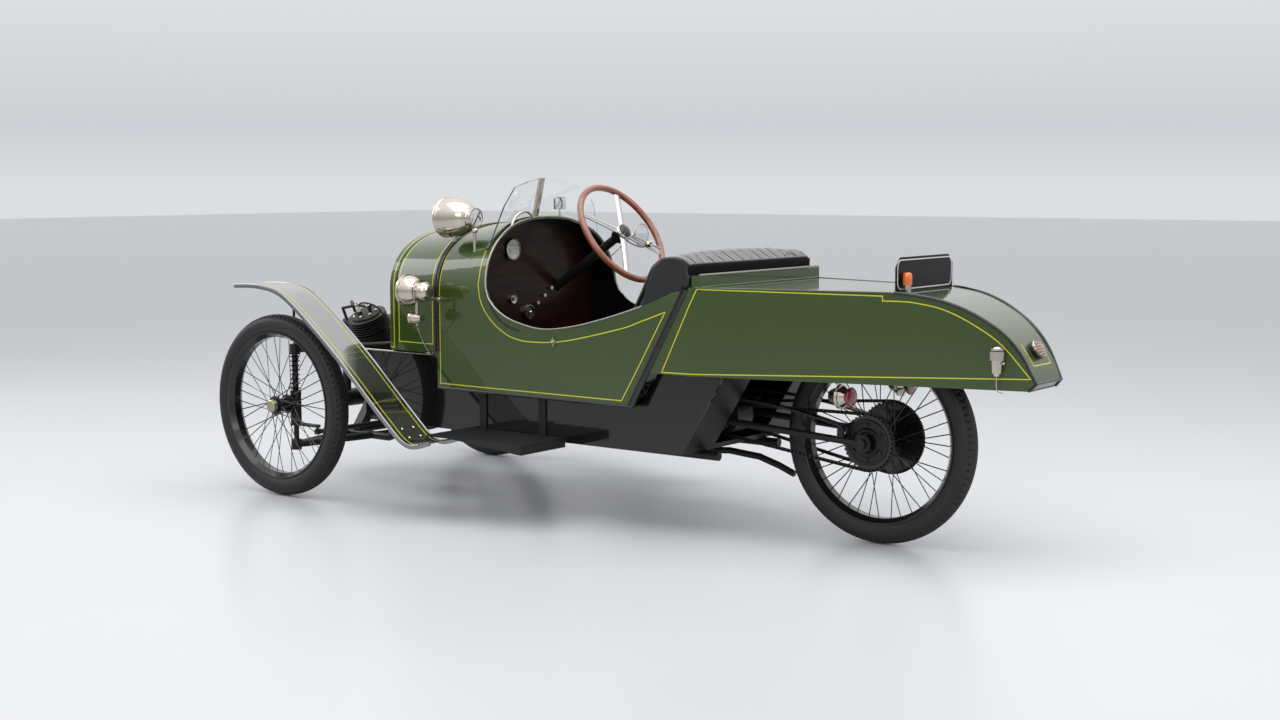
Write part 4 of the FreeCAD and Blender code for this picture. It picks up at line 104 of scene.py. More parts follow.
wire(links, (split, "Z", overhead, "Value"), (overhead, "Result", seen, "Strength"),
    (ramp, "Color", seen, "Color"), (rays, "Is Camera Ray", either, 0),
    (rays, "Is Glossy Ray", either, 1), (either, 0, any_ray, 0),
    (rays, "Is Transmission Ray", any_ray, 1), (any_ray, 0, mix, "Fac"), (given, 0, mix, 1),
    (seen, 0, mix, 2), (mix, 0, out, "Surface"))


def mode(name):
    bpy.ops.object.mode_set(mode=name)


def deselect():
    if bpy.context.object and bpy.context.object.mode != "OBJECT":
        mode("OBJECT")
    bpy.ops.object.select_all(action="DESELECT")


def placed(name, data):
    made = bpy.data.objects.new(name, data)
    bpy.context.scene.collection.objects.link(made)
    return made


deselect()
bpy.ops.mesh.primitive_plane_add(size=90, location=(0, 0, 0))
floor = bpy.context.object
floor.name = "studio_floor"
floor_paint = bpy.data.materials.new("floor_paint")
nodes, links = tree_of(floor_paint)
out = add_node(nodes, "OutputMaterial")
shader = add_node(nodes, "BsdfPrincipled", Specular_IOR_Level=0.34)
grain = add_node(nodes, "TexNoise", Scale=0.6, Detail=4.0)
tone = shades(nodes, (0.0, (0.655, 0.66, 0.675)), (1.0, (0.7, 0.705, 0.72)))
sheen = add_node(nodes, "MapRange", To_Min=0.24, To_Max=0.4)
place = add_node(nodes, "TexCoord")
wire(links, (place, "Object", grain, "Vector"), (grain, "Fac", tone, "Fac"),
    (grain, "Fac", sheen, "Value"), (tone, "Color", shader, "Base Color"),
    (sheen, "Result", shader, "Roughness"), (shader, 0, out, "Surface"))
floor.data.materials.append(floor_paint)

for name, spot, aim, size, power, tint in (("roof_box", (-0.6, 0.6, 4.6), (0, 0, 0.3), (6.0, 4.5),
        180, (1.0, 0.99, 0.97)), ("near_box", (-3.0, 6.0, 3.4), (0, 0, 0.5), (3.5, 2.4), 80,
        (1.0, 0.99, 0.98)), ("tail_box", (-6.0, -1.0, 2.8), (-0.6, 0, 0.5), (2.4, 2.4), 60,
        (0.97, 0.98, 1.0)), ("nose_box", (5.0, 2.0, 3.0), (0.6, 0, 0.5), (2.4, 2.4), 60,
        (0.98, 0.99, 1.0))):
    lamp = bpy.data.lights.new(name, "AREA")
    lamp.shape = "RECTANGLE"
    lamp.size, lamp.size_y = size
    lamp.energy = power
    lamp.color = tint
    holder = placed(name, lamp)
    holder.location = spot
    holder.rotation_euler = (Vector(aim) - Vector(spot)).to_track_quat("-Z", "Y").to_euler()

lens = bpy.data.cameras.new("camera")
lens.lens = 47.99
lens.sensor_width = 36.0
lens.clip_end = 200
camera = placed("camera", lens)
camera.location = (-3.7827, 4.954, 1.2107)
camera.rotation_euler = (math.radians(90 - 6.04), 0.0014, math.radians(-52.76 - 90))
bpy.context.scene.camera = camera
bpy.context.scene.view_settings.view_transform = "Standard"


# Chassis: two steel rails, the tubes across the nose and the torque tube down the
# middle, brushed black enamel over steel, with the pressed floor tray between the
# black side plates. A plated half round bead runs along each side plate's top.

surface = bpy.data.node_groups.new("worked_surface", "ShaderNodeTree")
for way, labels in (("INPUT", "Colour Second Scale Mottle Gloss Spread"),
        ("OUTPUT", "Colour Roughness Height")):
    for label in labels.split():
        kind = "Color" if label in ("Colour", "Second") else "Float"
        surface.interface.new_socket(name=label, in_out=way, socket_type="NodeSocket" + kind)
inner, wires = surface.nodes, surface.links
gin = inner.new("NodeGroupInput")
gout = inner.new("NodeGroupOutput")
where = add_node(inner, "TexCoord")
fine = add_node(inner, "TexNoise", Detail=5.0, Roughness=0.6)
broad = add_node(inner, "TexNoise", Detail=3.0)
slow = add_node(inner, "Math", [(1, 0.12)], operation="MULTIPLY")
blend = add_node(inner, "Math", [(1, 0.5)], operation="MULTIPLY_ADD")
half_fine = add_node(inner, "Math", [(1, 0.5)], operation="MULTIPLY")
amount = add_node(inner, "Math", operation="MULTIPLY")
tint_mix = add_node(inner, "Mix", data_type="RGBA")
centred = add_node(inner, "Math", [(1, 0.5)], operation="SUBTRACT")
rough = add_node(inner, "Math", operation="MULTIPLY_ADD")
wire(wires, (where, "Object", fine, "Vector"), (where, "Object", broad, "Vector"),
    (gin, "Scale", fine, "Scale"), (gin, "Scale", slow, 0), (slow, 0, broad, "Scale"),
    (fine, "Fac", half_fine, 0), (broad, "Fac", blend, 0), (half_fine, 0, blend, 2),
    (blend, 0, amount, 0), (gin, "Mottle", amount, 1), (amount, 0, tint_mix, "Factor"),
    (gin, "Colour", tint_mix, "A"), (gin, "Second", tint_mix, "B"),
    (tint_mix, "Result", gout, "Colour"), (blend, 0, centred, 0), (centred, 0, rough, 0),
    (gin, "Spread", rough, 1), (gin, "Gloss", rough, 2), (rough, 0, gout, "Roughness"),
    (fine, "Fac", gout, "Height"))


def finish(name, colour, second, scale, mottle, gloss, spread, bump, depth, slot=None, **values):
    """A worked finish: two near colours mottled together, uneven gloss and a fine grain."""
    made = bpy.data.materials.new(name)
    nodes, links = tree_of(made)
    out = add_node(nodes, "OutputMaterial")
    shader = add_node(nodes, "BsdfPrincipled", **values)
    group = add_node(nodes, "Group", node_tree=surface, Colour=(*colour, 1), Second=(*second, 1),
        Scale=scale, Mottle=mottle, Gloss=gloss, Spread=spread)
    relief = add_node(nodes, "Bump", Strength=bump, Distance=depth)
    wire(links, (group, "Colour", shader, "Base Color"), (group, "Roughness", shader, "Roughness"),
        (group, "Height", relief, "Height"), (relief, "Normal", shader, "Normal"),
        (shader, 0, out, "Surface"))
    return made


def dress(finish_made, *names):
    for name in names:
        piece = cad[name]
        if not piece.data.materials:
            piece.data.materials.append(finish_made)
        for k in range(len(piece.data.materials)):
            piece.data.materials[k] = finish_made


def settle(piece, paint, body="chassis"):
    """The piece in its paint, as its only material, riding on its body."""
    piece.data.materials.clear()
    piece.data.materials.append(paint)
    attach(piece, body)
    return piece


def take(piece):
    deselect()
    piece.select_set(True)
    bpy.context.view_layer.objects.active = piece
    return piece


def smooth(angle):
    """Smooth shading over every edge that turns by less than the angle in degrees."""
    bpy.ops.object.shade_smooth_by_angle(angle=math.radians(angle))


def tube(name, points, radius, paint, body="chassis", sides=3):
    """A round bead or rod along a line of points, made a mesh with capped ends."""
    line = bpy.data.curves.new(name, "CURVE")
    line.dimensions = "3D"
    line.bevel_depth = radius
    line.bevel_resolution = sides
    line.use_fill_caps = True
    run = line.splines.new("POLY")
    run.points.add(len(points) - 1)
    for spot, target in zip(run.points, points):
        spot.co = (*target, 1)
    take(placed(name, line))
    bpy.ops.object.convert(target="MESH")
    piece = bpy.context.object
    smooth(50)
    return settle(piece, paint, body)


black_satin = finish("black_satin", (0.0045, 0.0045, 0.005), (0.015, 0.014, 0.013), 30, 0.7, 0.44,
    0.25, 0.1, 0.0006, "black_enamel", Specular_IOR_Level=0.32)
black_gloss = finish("black_gloss", (0.003, 0.003, 0.0034), (0.007, 0.007, 0.0075), 18, 0.6, 0.24,
    0.12, 0.03, 0.0004, "black_enamel", Specular_IOR_Level=0.1, Coat_Weight=0.75,
    Coat_Roughness=0.05)
nickel = finish("nickel", (0.56, 0.52, 0.445), (0.4, 0.365, 0.31), 24, 0.7, 0.15, 0.14, 0.05,
    0.0004, "nickel", Metallic=1.0)
dress(black_satin, "floor_tray", "seat_board", "frame_rail_left", "frame_rail_right",
    "torque_tube", "cross_tubes_lower", "cross_tube_upper", "pedals")
dress(black_gloss, "chassis_side_left", "chassis_side_right")
both = ((1, "left"), (-1, "right"))
for side, tag in both:
    tube("side_plate_bead_" + tag, [(0.648, side * 0.3405, 0.5565),
        (1.0695, side * 0.3405, 0.5565)], 0.0035, nickel)


# Rear axle: the black fork, its quarter springs and the bevel box that carries the
# two driving sprockets, all enamelled, dulled by oil and road dust.

black_cast = finish("black_cast", (0.006, 0.006, 0.006), (0.026, 0.024, 0.022), 90, 0.8, 0.5, 0.3,
    0.45, 0.001, Specular_IOR_Level=0.4)
dress(black_satin, "rear_fork", "leaf_springs", "exhaust")
dress(black_cast, "bevel_box")


# Chains: roller chains of steel side plates and rollers, oiled nearly black, one to
# each speed, round the sprockets on the bevel box and on the rear wheel.

def walls(shape, rings, closed=False):
    """Faces from each ring of points to the next, with caps unless the line is closed."""
    rings = [[shape.verts.new(p) for p in ring] for ring in rings]
    for one, two in zip(rings, rings[1:] + rings[:closed]):
        for i in range(len(one)):
            j = (i + 1) % len(one)
            shape.faces.new((one[i], one[j], two[j], two[i]))
    if not closed:
        shape.faces.new(rings[0])
        shape.faces.new(rings[-1][::-1])


def built(name, shape):
    """The piece that a hand made mesh gives, its faces turned outward."""
    bmesh.ops.recalc_face_normals(shape, faces=shape.faces)
    mesh = bpy.data.meshes.new(name)
    shape.to_mesh(mesh)
    shape.free()
    return placed(name, mesh)


def spoke_way(turn):
    """The way out from an axle at an angle, seen from the car's side."""
    return Vector((math.cos(turn), 0, math.sin(turn)))


def chain(name, node_name, middle_y, rear, rear_radius, front, front_radius):
    """Links laid along both runs and round both sprockets, every second one narrower."""
    rear, front = Vector(rear), Vector(front)
    gap = front - rear
    lean = math.atan2(gap.z, gap.x)
    spread = math.acos((rear_radius - front_radius) / gap.length)
    path = []
    for hub, reach, first, sweep, steps in ((rear, rear_radius, lean + spread,
            math.tau - 2 * spread, 40), (front, front_radius, lean - spread, 2 * spread, 20)):
        for k in range(steps + 1):
            angle = first + sweep * k / steps
            path.append(hub + spoke_way(angle) * reach)
    path.append(path[0])
    lengths = [0.0]
    for a, b in zip(path, path[1:]):
        lengths.append(lengths[-1] + (b - a).length)
    count = round(lengths[-1] / link_pitch)
    pitch = lengths[-1] / count

    def at(distance):
        distance %= lengths[-1]
        k = next(i for i in range(len(lengths) - 1) if lengths[i + 1] >= distance)
        share = (distance - lengths[k]) / max(lengths[k + 1] - lengths[k], 1e-9)
        return path[k].lerp(path[k + 1], share)

    shape = bmesh.new()
    for k in range(count):
        a, b = at(k * pitch), at((k + 1) * pitch)
        along = (b - a).normalized()
        up = Vector((0, 1, 0)).cross(along)
        wide = roller_half if k % 2 else roller_half - 0.001
        plate = []
        for base, share in ((a, 1), (a, 0.72), (a, 0.5), (b, 0.5), (b, 0.28), (b, 0), (b, -0.28),
                (b, -0.5), (a, -0.5), (a, -0.72)):
            reach = plate_waist if abs(share) == 0.5 else plate_end
            turn = math.pi * share
            plate.append(base + along * (math.cos(turn) * reach) + up * (math.sin(turn) * reach))
        for side in (-1, 1):
            walls(shape,
                [[(p.x, middle_y + side * depth, p.z) for p in plate] for depth in (wide - 0.0011,
                wide)])
        pin = [a + spoke_way(math.tau * t / 8) * pin_radius for t in range(8)]
        walls(shape,
            [[(p.x, middle_y + depth, p.z) for p in pin] for depth in (-roller_half, roller_half)])
    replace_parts(settle(built(name, shape), chain_steel), node_name)


link_pitch = 0.0159
roller_half = 0.0052
plate_waist, plate_end, pin_radius = 0.0052, 0.0056, 0.0044
axle_z = 0.35
rear_hub = Vector((-1.0205, 0, axle_z))
chain_steel = finish("chain_steel", (0.02, 0.018, 0.016), (0.06, 0.05, 0.04), 120, 0.8, 0.38, 0.3,
    0.2, 0.0004, "black_enamel", Metallic=0.8)
chain("drive_chain_left", "chain_left", 0.085, rear_hub, 0.0935, (-0.4205, 0, 0.384), 0.0525)
chain("drive_chain_right", "chain_right", -0.07, rear_hub, 0.1215, (-0.4205, 0, 0.384), 0.0425)


# Front axle: sliding pillars with their springs between the cross tubes, the forged
# knuckles that slide on them, and the steering rods, all stoved black.

dress(black_satin, "pillar_left", "pillar_right", "knuckle_left", "knuckle_right", "tie_rod",
    "drop_arm", "drag_link")


# Wheels: wire wheels with black rims, hubs and laced spokes, under beaded edge tyres
# of plain black rubber, with fine rings on the walls and notched shoulders.

def edit_all():
    """Edit mode, with all of the active piece selected."""
    mode("EDIT")
    bpy.ops.mesh.select_all(action="SELECT")


def turned(name, outline, centre, axis, paint, body="chassis", steps=48, crease=35):
    """A turned piece: its outline, as mm along the axis and mm from it, spun round."""
    axis = Vector(axis).normalized()
    side = axis.orthogonal().normalized()
    centre = Vector(centre)
    mesh = bpy.data.meshes.new(name)
    mesh.from_pydata([centre + axis * (along / 1000) + side * (reach / 1000) for along,
        reach in outline], [(k, k + 1) for k in range(len(outline) - 1)], [])
    piece = take(placed(name, mesh))
    edit_all()
    bpy.ops.mesh.spin(steps=steps, angle=math.tau, center=centre, axis=axis)
    bpy.ops.mesh.select_all(action="SELECT")
    bpy.ops.mesh.remove_doubles(threshold=0.00002)
    bpy.ops.mesh.normals_make_consistent(inside=False)
    mode("OBJECT")
    smooth(crease)
    return settle(piece, paint, body)


rubber = finish("rubber", (0.0075, 0.0075, 0.008), (0.017, 0.017, 0.0175), 110, 0.8, 0.56, 0.2,
    0.25, 0.0005, "tyre", Specular_IOR_Level=0.36)
wheel_enamel = finish("wheel_enamel", (0.004, 0.004, 0.0045), (0.01, 0.01, 0.01), 60, 0.7, 0.24,
    0.16, 0.06, 0.0003, Specular_IOR_Level=0.3, Coat_Weight=0.4, Coat_Roughness=0.08)
tyre_half = [(0, 349), (3.5, 349), (4.2, 347), (5.6, 347), (6.3, 348.5), (10.5, 348.2),
    (11.2, 346.2), (12.6, 346), (13.3, 347.2), (18, 346.2), (22.5, 344), (26.2, 341.2),
    (26.8, 338.6), (29.6, 337), (32.6, 332.8), (35.2, 327.5), (36.6, 324), (37.8, 323.6),
    (38.5, 320), (39.1, 314), (39, 308), (38, 302), (36.8, 298.5), (37.2, 296.8), (36, 294),
    (34.2, 289.5), (32.2, 285), (30.5, 282.6)]
tyre_outline = [(-along, reach) for along, reach in tyre_half[::-1]] + tyre_half[1:]
tyre_outline += [(24, 288), (0, 298), (-24, 288), tyre_outline[0]]
front_x, wheel_y = 1.2605, 0.5985
notch_in, notch_out = 0.018, 0.03
for node_name, x, y, body in (("front_tyre_left", front_x, wheel_y, "front_wheel_left"),
        ("front_tyre_right", front_x, -wheel_y, "front_wheel_right"), ("rear_tyre", rear_hub.x,
        0.0, "rear_wheel")):
    tyre = turned(node_name + "_rubber", tyre_outline, (x, y, axle_z), (0, 1, 0), rubber, body,
        360, 32)
    mode("EDIT")
    for face in bmesh.from_edit_mesh(tyre.data).faces:
        spot = face.calc_center_median()
        outward = Vector((spot.x - x, 0, spot.z - axle_z))
        turn = math.degrees(math.atan2(outward.z, outward.x)) % 360
        face.select = notch_in < abs(spot.y
            - y) < notch_out and turn % 4 < 1 and face.normal.dot(outward) > 0
    bpy.ops.mesh.extrude_region_shrink_fatten(TRANSFORM_OT_shrink_fatten={"value": -0.0022})
    mode("OBJECT")
    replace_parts(tyre, node_name)
dress(wheel_enamel, "front_wheel_left", "front_wheel_right", "rear_wheel")
hub_brass = finish("hub_brass", (0.42, 0.4, 0.3), (0.26, 0.25, 0.18), 40, 0.8, 0.28, 0.2, 0.1,
    0.0004, "nickel", Metallic=0.9)
dress(hub_brass, "hub_cap_left", "hub_cap_right")
for side, face, tag in ((1, 0.0875, "left"), (-1, 0.0725, "right")):
    hub_side = rear_hub + Vector((0, side * face, 0))
    turned("sprocket_flange_" + tag, [(-0.5, 29), (9, 31), (11.5, 35), (11.5, 44), (8.5, 47.5),
        (3.5, 50), (3.2, 66), (5.5, 68), (5.5, 75), (3, 77.5), (-0.5, 78)], hub_side, (0, side, 0),
        black_satin, "rear_wheel", 64)
    for k in range(6):
        turn = math.tau * (k + 0.5) / 6
        turned("sprocket_bolt_%s_%d" % (tag, k + 1), [(2, 0), (2, 6.8), (8, 6.8), (9.2, 5.6),
            (9.2, 3.4), (11.8, 3), (12.2, 0)], hub_side + spoke_way(turn) * 0.0585, (0, side, 0),
            black_gloss, "rear_wheel", 6)


# Engine: an air cooled twin. The crankcase is cast aluminium painted black, the
# finned cylinders are black iron, with bright nuts and spark plugs on them.

aluminium = finish("aluminium", (0.52, 0.52, 0.51), (0.4, 0.4, 0.4), 60, 0.7, 0.3, 0.2, 0.1,
    0.0004, "bare_aluminium", Metallic=1.0)
dress(black_cast, "crankcase", "cylinder_left", "cylinder_right", "engine_gear")
porcelain = finish("porcelain", (0.74, 0.72, 0.67), (0.6, 0.57, 0.52), 60, 0.5, 0.22, 0.05, 0.1,
    0.0003, Coat_Weight=0.5, Coat_Roughness=0.08)
for side, tag in both:
    lean = math.radians(25)
    along = Vector((0, side * math.sin(lean), math.cos(lean)))
    beside = Vector((0, side * math.cos(lean), -math.sin(lean)))
    head = Vector((1.2725, 0, 0.372)) + along * 0.3427
    for x in (-1, 1):
        turned("rocker_nut_%s_%d" % (tag, (x + 3) // 2), [(0, 7.2), (0, 10.5), (6, 10.5), (7.5, 9),
            (7.5, 6), (12, 5.5), (13, 0)], head + along * 0.026 + Vector((x * 0.032, 0, 0)), along,
            nickel, steps=24)
    turned("plug_porcelain_" + tag, [(14.5, 0), (14.5, 8), (18, 8.6), (26, 7), (35, 6.2), (39, 5),
        (39.5, 0)], head + beside * 0.028, along, porcelain, steps=28)
    turned("plug_nut_" + tag, [(39, 0), (39, 6.2), (43, 6.2), (43.8, 0)], head + beside * 0.028,
        along, hub_brass, steps=24)
    for k in range(8):
        turn = math.tau * (k + 0.5) / 8
        spot = head + (beside * math.cos(turn) + Vector((math.sin(turn), 0, 0))) * 0.049
        turned("head_nut_%s_%d" % (tag, k + 1), [(-6.5, 0), (-6.5, 5.6), (1, 5.6), (1.8, 4.5),
            (3, 3), (6, 2.8), (6.6, 0)], spot, along, nickel, steps=16)


# Body: steel sheet over an ash frame, coach enamelled deep green and lined in yellow
# by hand. Scuttle and sides are one shell, open over the seats in a long oval, with
# beaded joints, a brass latch and a hinge strip on each side.

flank = 0.383
spring_z = 0.79
fullness = 2.3
green_paint = finish("green_paint", (0.03, 0.056, 0.0075), (0.036, 0.064, 0.01), 7, 0.6, 0.34,
    0.08, 0.02, 0.0004, "green_enamel", Specular_IOR_Level=0.12, Coat_Weight=0.95,
    Coat_Roughness=0.03)
lined_green = green_paint.copy()
lined_green.name = "green_paint_black_inside"
nodes, links = lined_green.node_tree.nodes, lined_green.node_tree.links
shader = next(n for n in nodes if n.type == "BSDF_PRINCIPLED")
group = next(n for n in nodes if n.type == "GROUP")
facing = add_node(nodes, "NewGeometry")
spot = add_node(nodes, "TexCoord")
parts = add_node(nodes, "SeparateXYZ")
over = add_node(nodes, "Math", [(1, spring_z)], operation="SUBTRACT")
over_floor = add_node(nodes, "Math", [(1, -0.05)], operation="MAXIMUM")
outward_way = add_node(nodes, "CombineXYZ")
facing_out = add_node(nodes, "VectorMath", operation="DOT_PRODUCT")
inside = add_node(nodes, "Math", [(1, -0.02)], operation="LESS_THAN")
lining = add_node(nodes, "Mix", data_type="RGBA", B=(0.0035, 0.0035, 0.0035, 1))
dull = add_node(nodes, "Math", [(0, 1.0)], operation="SUBTRACT")
wire(links, (spot, "Object", parts, 0), (parts, "Z", over, 0), (over, 0, over_floor, 0),
    (parts, "Y", outward_way, "Y"), (over_floor, 0, outward_way, "Z"),
    (outward_way, 0, facing_out, 0), (facing, "True Normal", facing_out, 1),
    (facing_out, "Value", inside, 0), (inside, 0, lining, "Factor"),
    (group, "Colour", lining, "A"), (lining, "Result", shader, "Base Color"), (inside, 0, dull, 1),
    (dull, 0, shader, "Coat Weight"))
line_paint = finish("line_paint", (0.6, 0.57, 0.008), (0.48, 0.48, 0.006), 60, 0.6, 0.36, 0.1,
    0.05, 0.0003, Coat_Weight=0.5)
dress(lined_green, "body_tub")
shells = {}


def shell_of(name):
    """The node's surface, kept for laying lines and beads on it."""
    if name not in shells:
        mesh = cad[name].data
        shells[name] = BVHTree.FromPolygons([v.co for v in mesh.vertices],
            [p.vertices for p in mesh.polygons])
    return shells[name]


def flowing(points, steps=8):
    """A smooth line through the points."""
    ends = [Vector(p) for p in points]
    ends = [ends[0] * 2 - ends[1]] + ends + [ends[-1] * 2 - ends[-2]]
    line = []
    for a, b, c, d in zip(ends, ends[1:], ends[2:], ends[3:]):
        for k in range(steps):
            t = k / steps
            line.append(0.5 * (2 * b + (c - a) * t + (2 * a - 5 * b + 4 * c - d) * t ** 2 + (3 * b
                - a - 3 * c + d) * t ** 3))
    line.append(ends[-2])
    return line


def pinstripe(name, points, host, width=0.0036, paint=line_paint, closed=False, proud=0.0005):
    """A painted line or flat strip laid on its host, the corners mitred."""
    line = [Vector(p) for p in points]
    if closed:
        line.append(line[0])
    stations = []
    for a, b in zip(line, line[1:]):
        count = max(1, round((b - a).length / 0.012))
        stations += [a.lerp(b, k / count) for k in range(count)]
    if not closed:
        stations.append(line[-1])
    laid = [shell_of(host).find_nearest(spot)[:2] for spot in stations]
    rows = []
    count = len(laid)
    for k, (spot, out) in enumerate(laid):
        before = laid[(k - 1) % count][0] if closed or k else spot
        after = laid[(k + 1) % count][0] if closed or k < count - 1 else spot
        one, two = (spot - before), (after - spot)
        one = one.normalized() if one.length > 1e-6 else two.normalized()
        two = two.normalized() if two.length > 1e-6 else one
        along = (one + two).normalized()
        wide = width / 2 / max(0.6, math.sqrt(max(0.0, (1 + one.dot(two)) / 2)))
        out = (laid[(k - 1) % count][1] + out * 2 + laid[(k + 1) % count][1]).normalized()
        across = along.cross(out).normalized()
        rows.append([spot + across * wide * s + out * rise for s, rise in ((1, -0.0005),
            (1, proud), (-1, proud), (-1, -0.0005))])
    shape = bmesh.new()
    walls(shape, rows, closed)
    return settle(built(name, shape), paint)


def hoop(x, foot, out=0.0):
    """The section of the scuttle and bonnet at x, from a foot on the left to the right one."""
    stops = ((0.4095, flank, 1.074), (0.6445, 0.378, 1.042), (0.8675, 0.366, 1.022),
        (0.9205, 0.366, 1.022))
    low, high = next(((a, b) for a, b in zip(stops, stops[1:]) if x <= b[0]), stops[-2:])
    share = min(1.0, max(0.0, (x - low[0]) / (high[0] - low[0])))
    half = low[1] + (high[1] - low[1]) * share + out
    rise = low[2] + (high[2] - low[2]) * share - spring_z + out
    line = [Vector((x, half, foot))]
    for k in range(-22, 23):
        turn = math.pi / 2 * k / 22
        wide = math.copysign(abs(math.sin(turn)) ** (2 / fullness), -turn) * half
        line.append(Vector((x, wide, spring_z + rise * abs(math.cos(turn)) ** (2 / fullness))))
    return line + [Vector((x, -half, foot))]


cockpit_shares = [(-0.253, 0.68), (-0.188, 0.663), (-0.075, 0.592), (0.104, 0.505), (0.289, 0.436),
    (0.442, 0.411), (0.579, 0.446), (0.659, 0.497), (0.709, 0.563), (0.728, 0.629), (0.734, 0.698),
    (0.74, 0.815), (0.745, 0.932), (0.758, 1.013), (0.763, 1.178)]
opening = flowing([(-0.2725 + 0.917 * x, flank, 0.436 + 0.606 * z) for x, z in cockpit_shares], 6)


def opening_x(z):
    """Where the front edge of the opening lies at a height above the spring line."""
    rising = [p for p in opening if p.z > 0.72 and p.x > 0.3]
    for a, b in zip(rising, rising[1:]):
        if a.z <= z <= b.z:
            return a.x + (b.x - a.x) * (z - a.z) / (b.z - a.z)
    return rising[-1].x


rim_line = [p for p in opening if p.z < spring_z]
for k in range(0, 23):
    turn = math.pi / 2 * (1 - k / 22)
    z = spring_z + 0.284 * math.cos(turn) ** (2 / fullness)
    rim_line.append(Vector((opening_x(z), flank * math.sin(turn) ** (2 / fullness), z)))
rim_line += [Vector((p.x, -p.y, p.z)) for p in rim_line[-2::-1]]
coaming_line = [shell_of("body_tub").find_nearest(spot)[0] for spot in rim_line]
dull_nickel = finish("dull_nickel", (0.3, 0.29, 0.26), (0.18, 0.17, 0.15), 24, 0.7, 0.28, 0.16,
    0.05, 0.0004, "nickel", Metallic=1.0)
tube("cockpit_coaming", coaming_line, 0.0034, dull_nickel)

cockpit_side = flowing([(-0.4125, flank, 0.77), (-0.3085, flank, 0.733), (-0.2225, flank, 0.704),
    (0.0215, flank, 0.649), (0.1775, flank, 0.637), (0.27, flank, 0.648), (0.3375, flank, 0.68),
    (0.385, flank, 0.72), (0.4185, flank, 0.769), (0.433, flank, 0.83)], 5)
crown = [p for p in hoop(0.448, 0.83) if p.z > 0.86]
for spot in crown:
    spot.x = opening_x(min(spot.z, 1.06)) + 0.03
right_side = [Vector((p.x, -p.y, p.z)) for p in cockpit_side[::-1]]
low_left = [(0.6345, 0.381, 0.457), (-0.2275, flank, 0.458), (-0.3085, flank, 0.593)]
low_right = [(x, -y, z) for x, y, z in low_left[::-1]]
pinstripe("line_cockpit", low_left + cockpit_side + crown + right_side + low_right, "body_tub")
pinstripe("line_scuttle", hoop(0.629, 0.457), "body_tub")

dark_bead = finish("dark_bead", (0.004, 0.004, 0.004), (0.012, 0.012, 0.012), 40, 0.6, 0.26, 0.2,
    0.05, 0.0003, "black_enamel", Specular_IOR_Level=0.3, Coat_Weight=0.5)
for side, tag in both:
    joint_line = [(-0.262, side * flank, 0.438), (-0.4905, side * flank, 0.846)]
    pinstripe("joint_strip_" + tag, joint_line, "body_tub", 0.018, dark_bead, proud=0.0014)
    for shift, mark in ((0.0105, "front"), (-0.0115, "rear")):
        tube("joint_bead_" + mark + "_" + tag, [(x + shift, y + side * 0.0012, z) for x, y,
            z in joint_line], 0.0034, dark_bead)
    tube("sill_bead_" + tag, [(-0.2755, side * 0.3835, 0.44), (0.64, side * 0.3795, 0.44)], 0.005,
        dark_bead)
for side, tag in both:
    latch = Vector((0.075, side * 0.3832, 0.643))
    turned("side_latch_" + tag, [(0, 0), (0, 9.5), (2.4, 9.5), (3.4, 7), (10, 5.2), (11.5, 3),
        (11.8, 0)], latch, (0, side, 0), hub_brass, steps=24)
    tube("side_latch_bar_" + tag, [latch + Vector((-0.013, side * 0.0085, 0.003)),
        latch + Vector((0.013, side * 0.0085, -0.003))], 0.0026, hub_brass)
    tube("side_latch_tongue_" + tag, [latch + Vector((0.0, side * 0.003, -0.016)),
        latch + Vector((0.0, side * 0.003, 0.016))], 0.0028, hub_brass)
    vent = [(p.x, side * p.y, p.z) for p in flowing([(0.235, flank, 0.672), (0.295, flank, 0.689),
        (0.345, flank, 0.723), (0.38, flank, 0.774), (0.396, flank, 0.806)], 6)]
    pinstripe("door_hinge_" + tag, vent, "body_tub", 0.0075, dark_bead, proud=0.0009)


# Strap: the bonnet lifts off, so a pair of black beads covers the joint between it
# and the scuttle and is drawn down on each side.

dress(green_paint, "bonnet", "nose_cowl")
for x, mark in ((0.6385, "rear"), (0.651, "front")):
    tube("strap_bead_" + mark, hoop(x, 0.575, 0.0022), 0.005, dark_bead)
pinstripe("line_bonnet_rear", hoop(0.668, 0.601), "bonnet")
pinstripe("line_bonnet_front", hoop(0.8535, 0.601), "bonnet")
for side, tag in both:
    pinstripe("line_bonnet_low_" + tag, [(0.666, side * 0.377, 0.601),
        (0.8555, side * 0.367, 0.601)], "bonnet")
    pinstripe("line_nose_low_" + tag, [(0.8795, side * 0.366, 0.577),
        (0.913, side * 0.366, 0.577)], "nose_cowl")
pinstripe("line_nose_rear", hoop(0.8815, 0.577), "nose_cowl")
pinstripe("line_nose_front", hoop(0.911, 0.577), "nose_cowl")
face_line = [Vector((0.9205, p.y * 0.91,
    spring_z + (p.z - spring_z) * 0.86)) for p in hoop(0.9205, 0.605)]
pinstripe("line_nose_face", face_line, "nose_cowl", closed=True)


# Tail: a boat tail of the same green sheet over ash, tapering to the rear, its deck
# hinged at the back of the seat. Black beads edge the curved end.

dress(green_paint, "tail")

tail_x, tail_curl = -1.6105, 0.435


def tail_side(x):
    return 0.093 + 0.29 * (x - tail_x) / 1.096


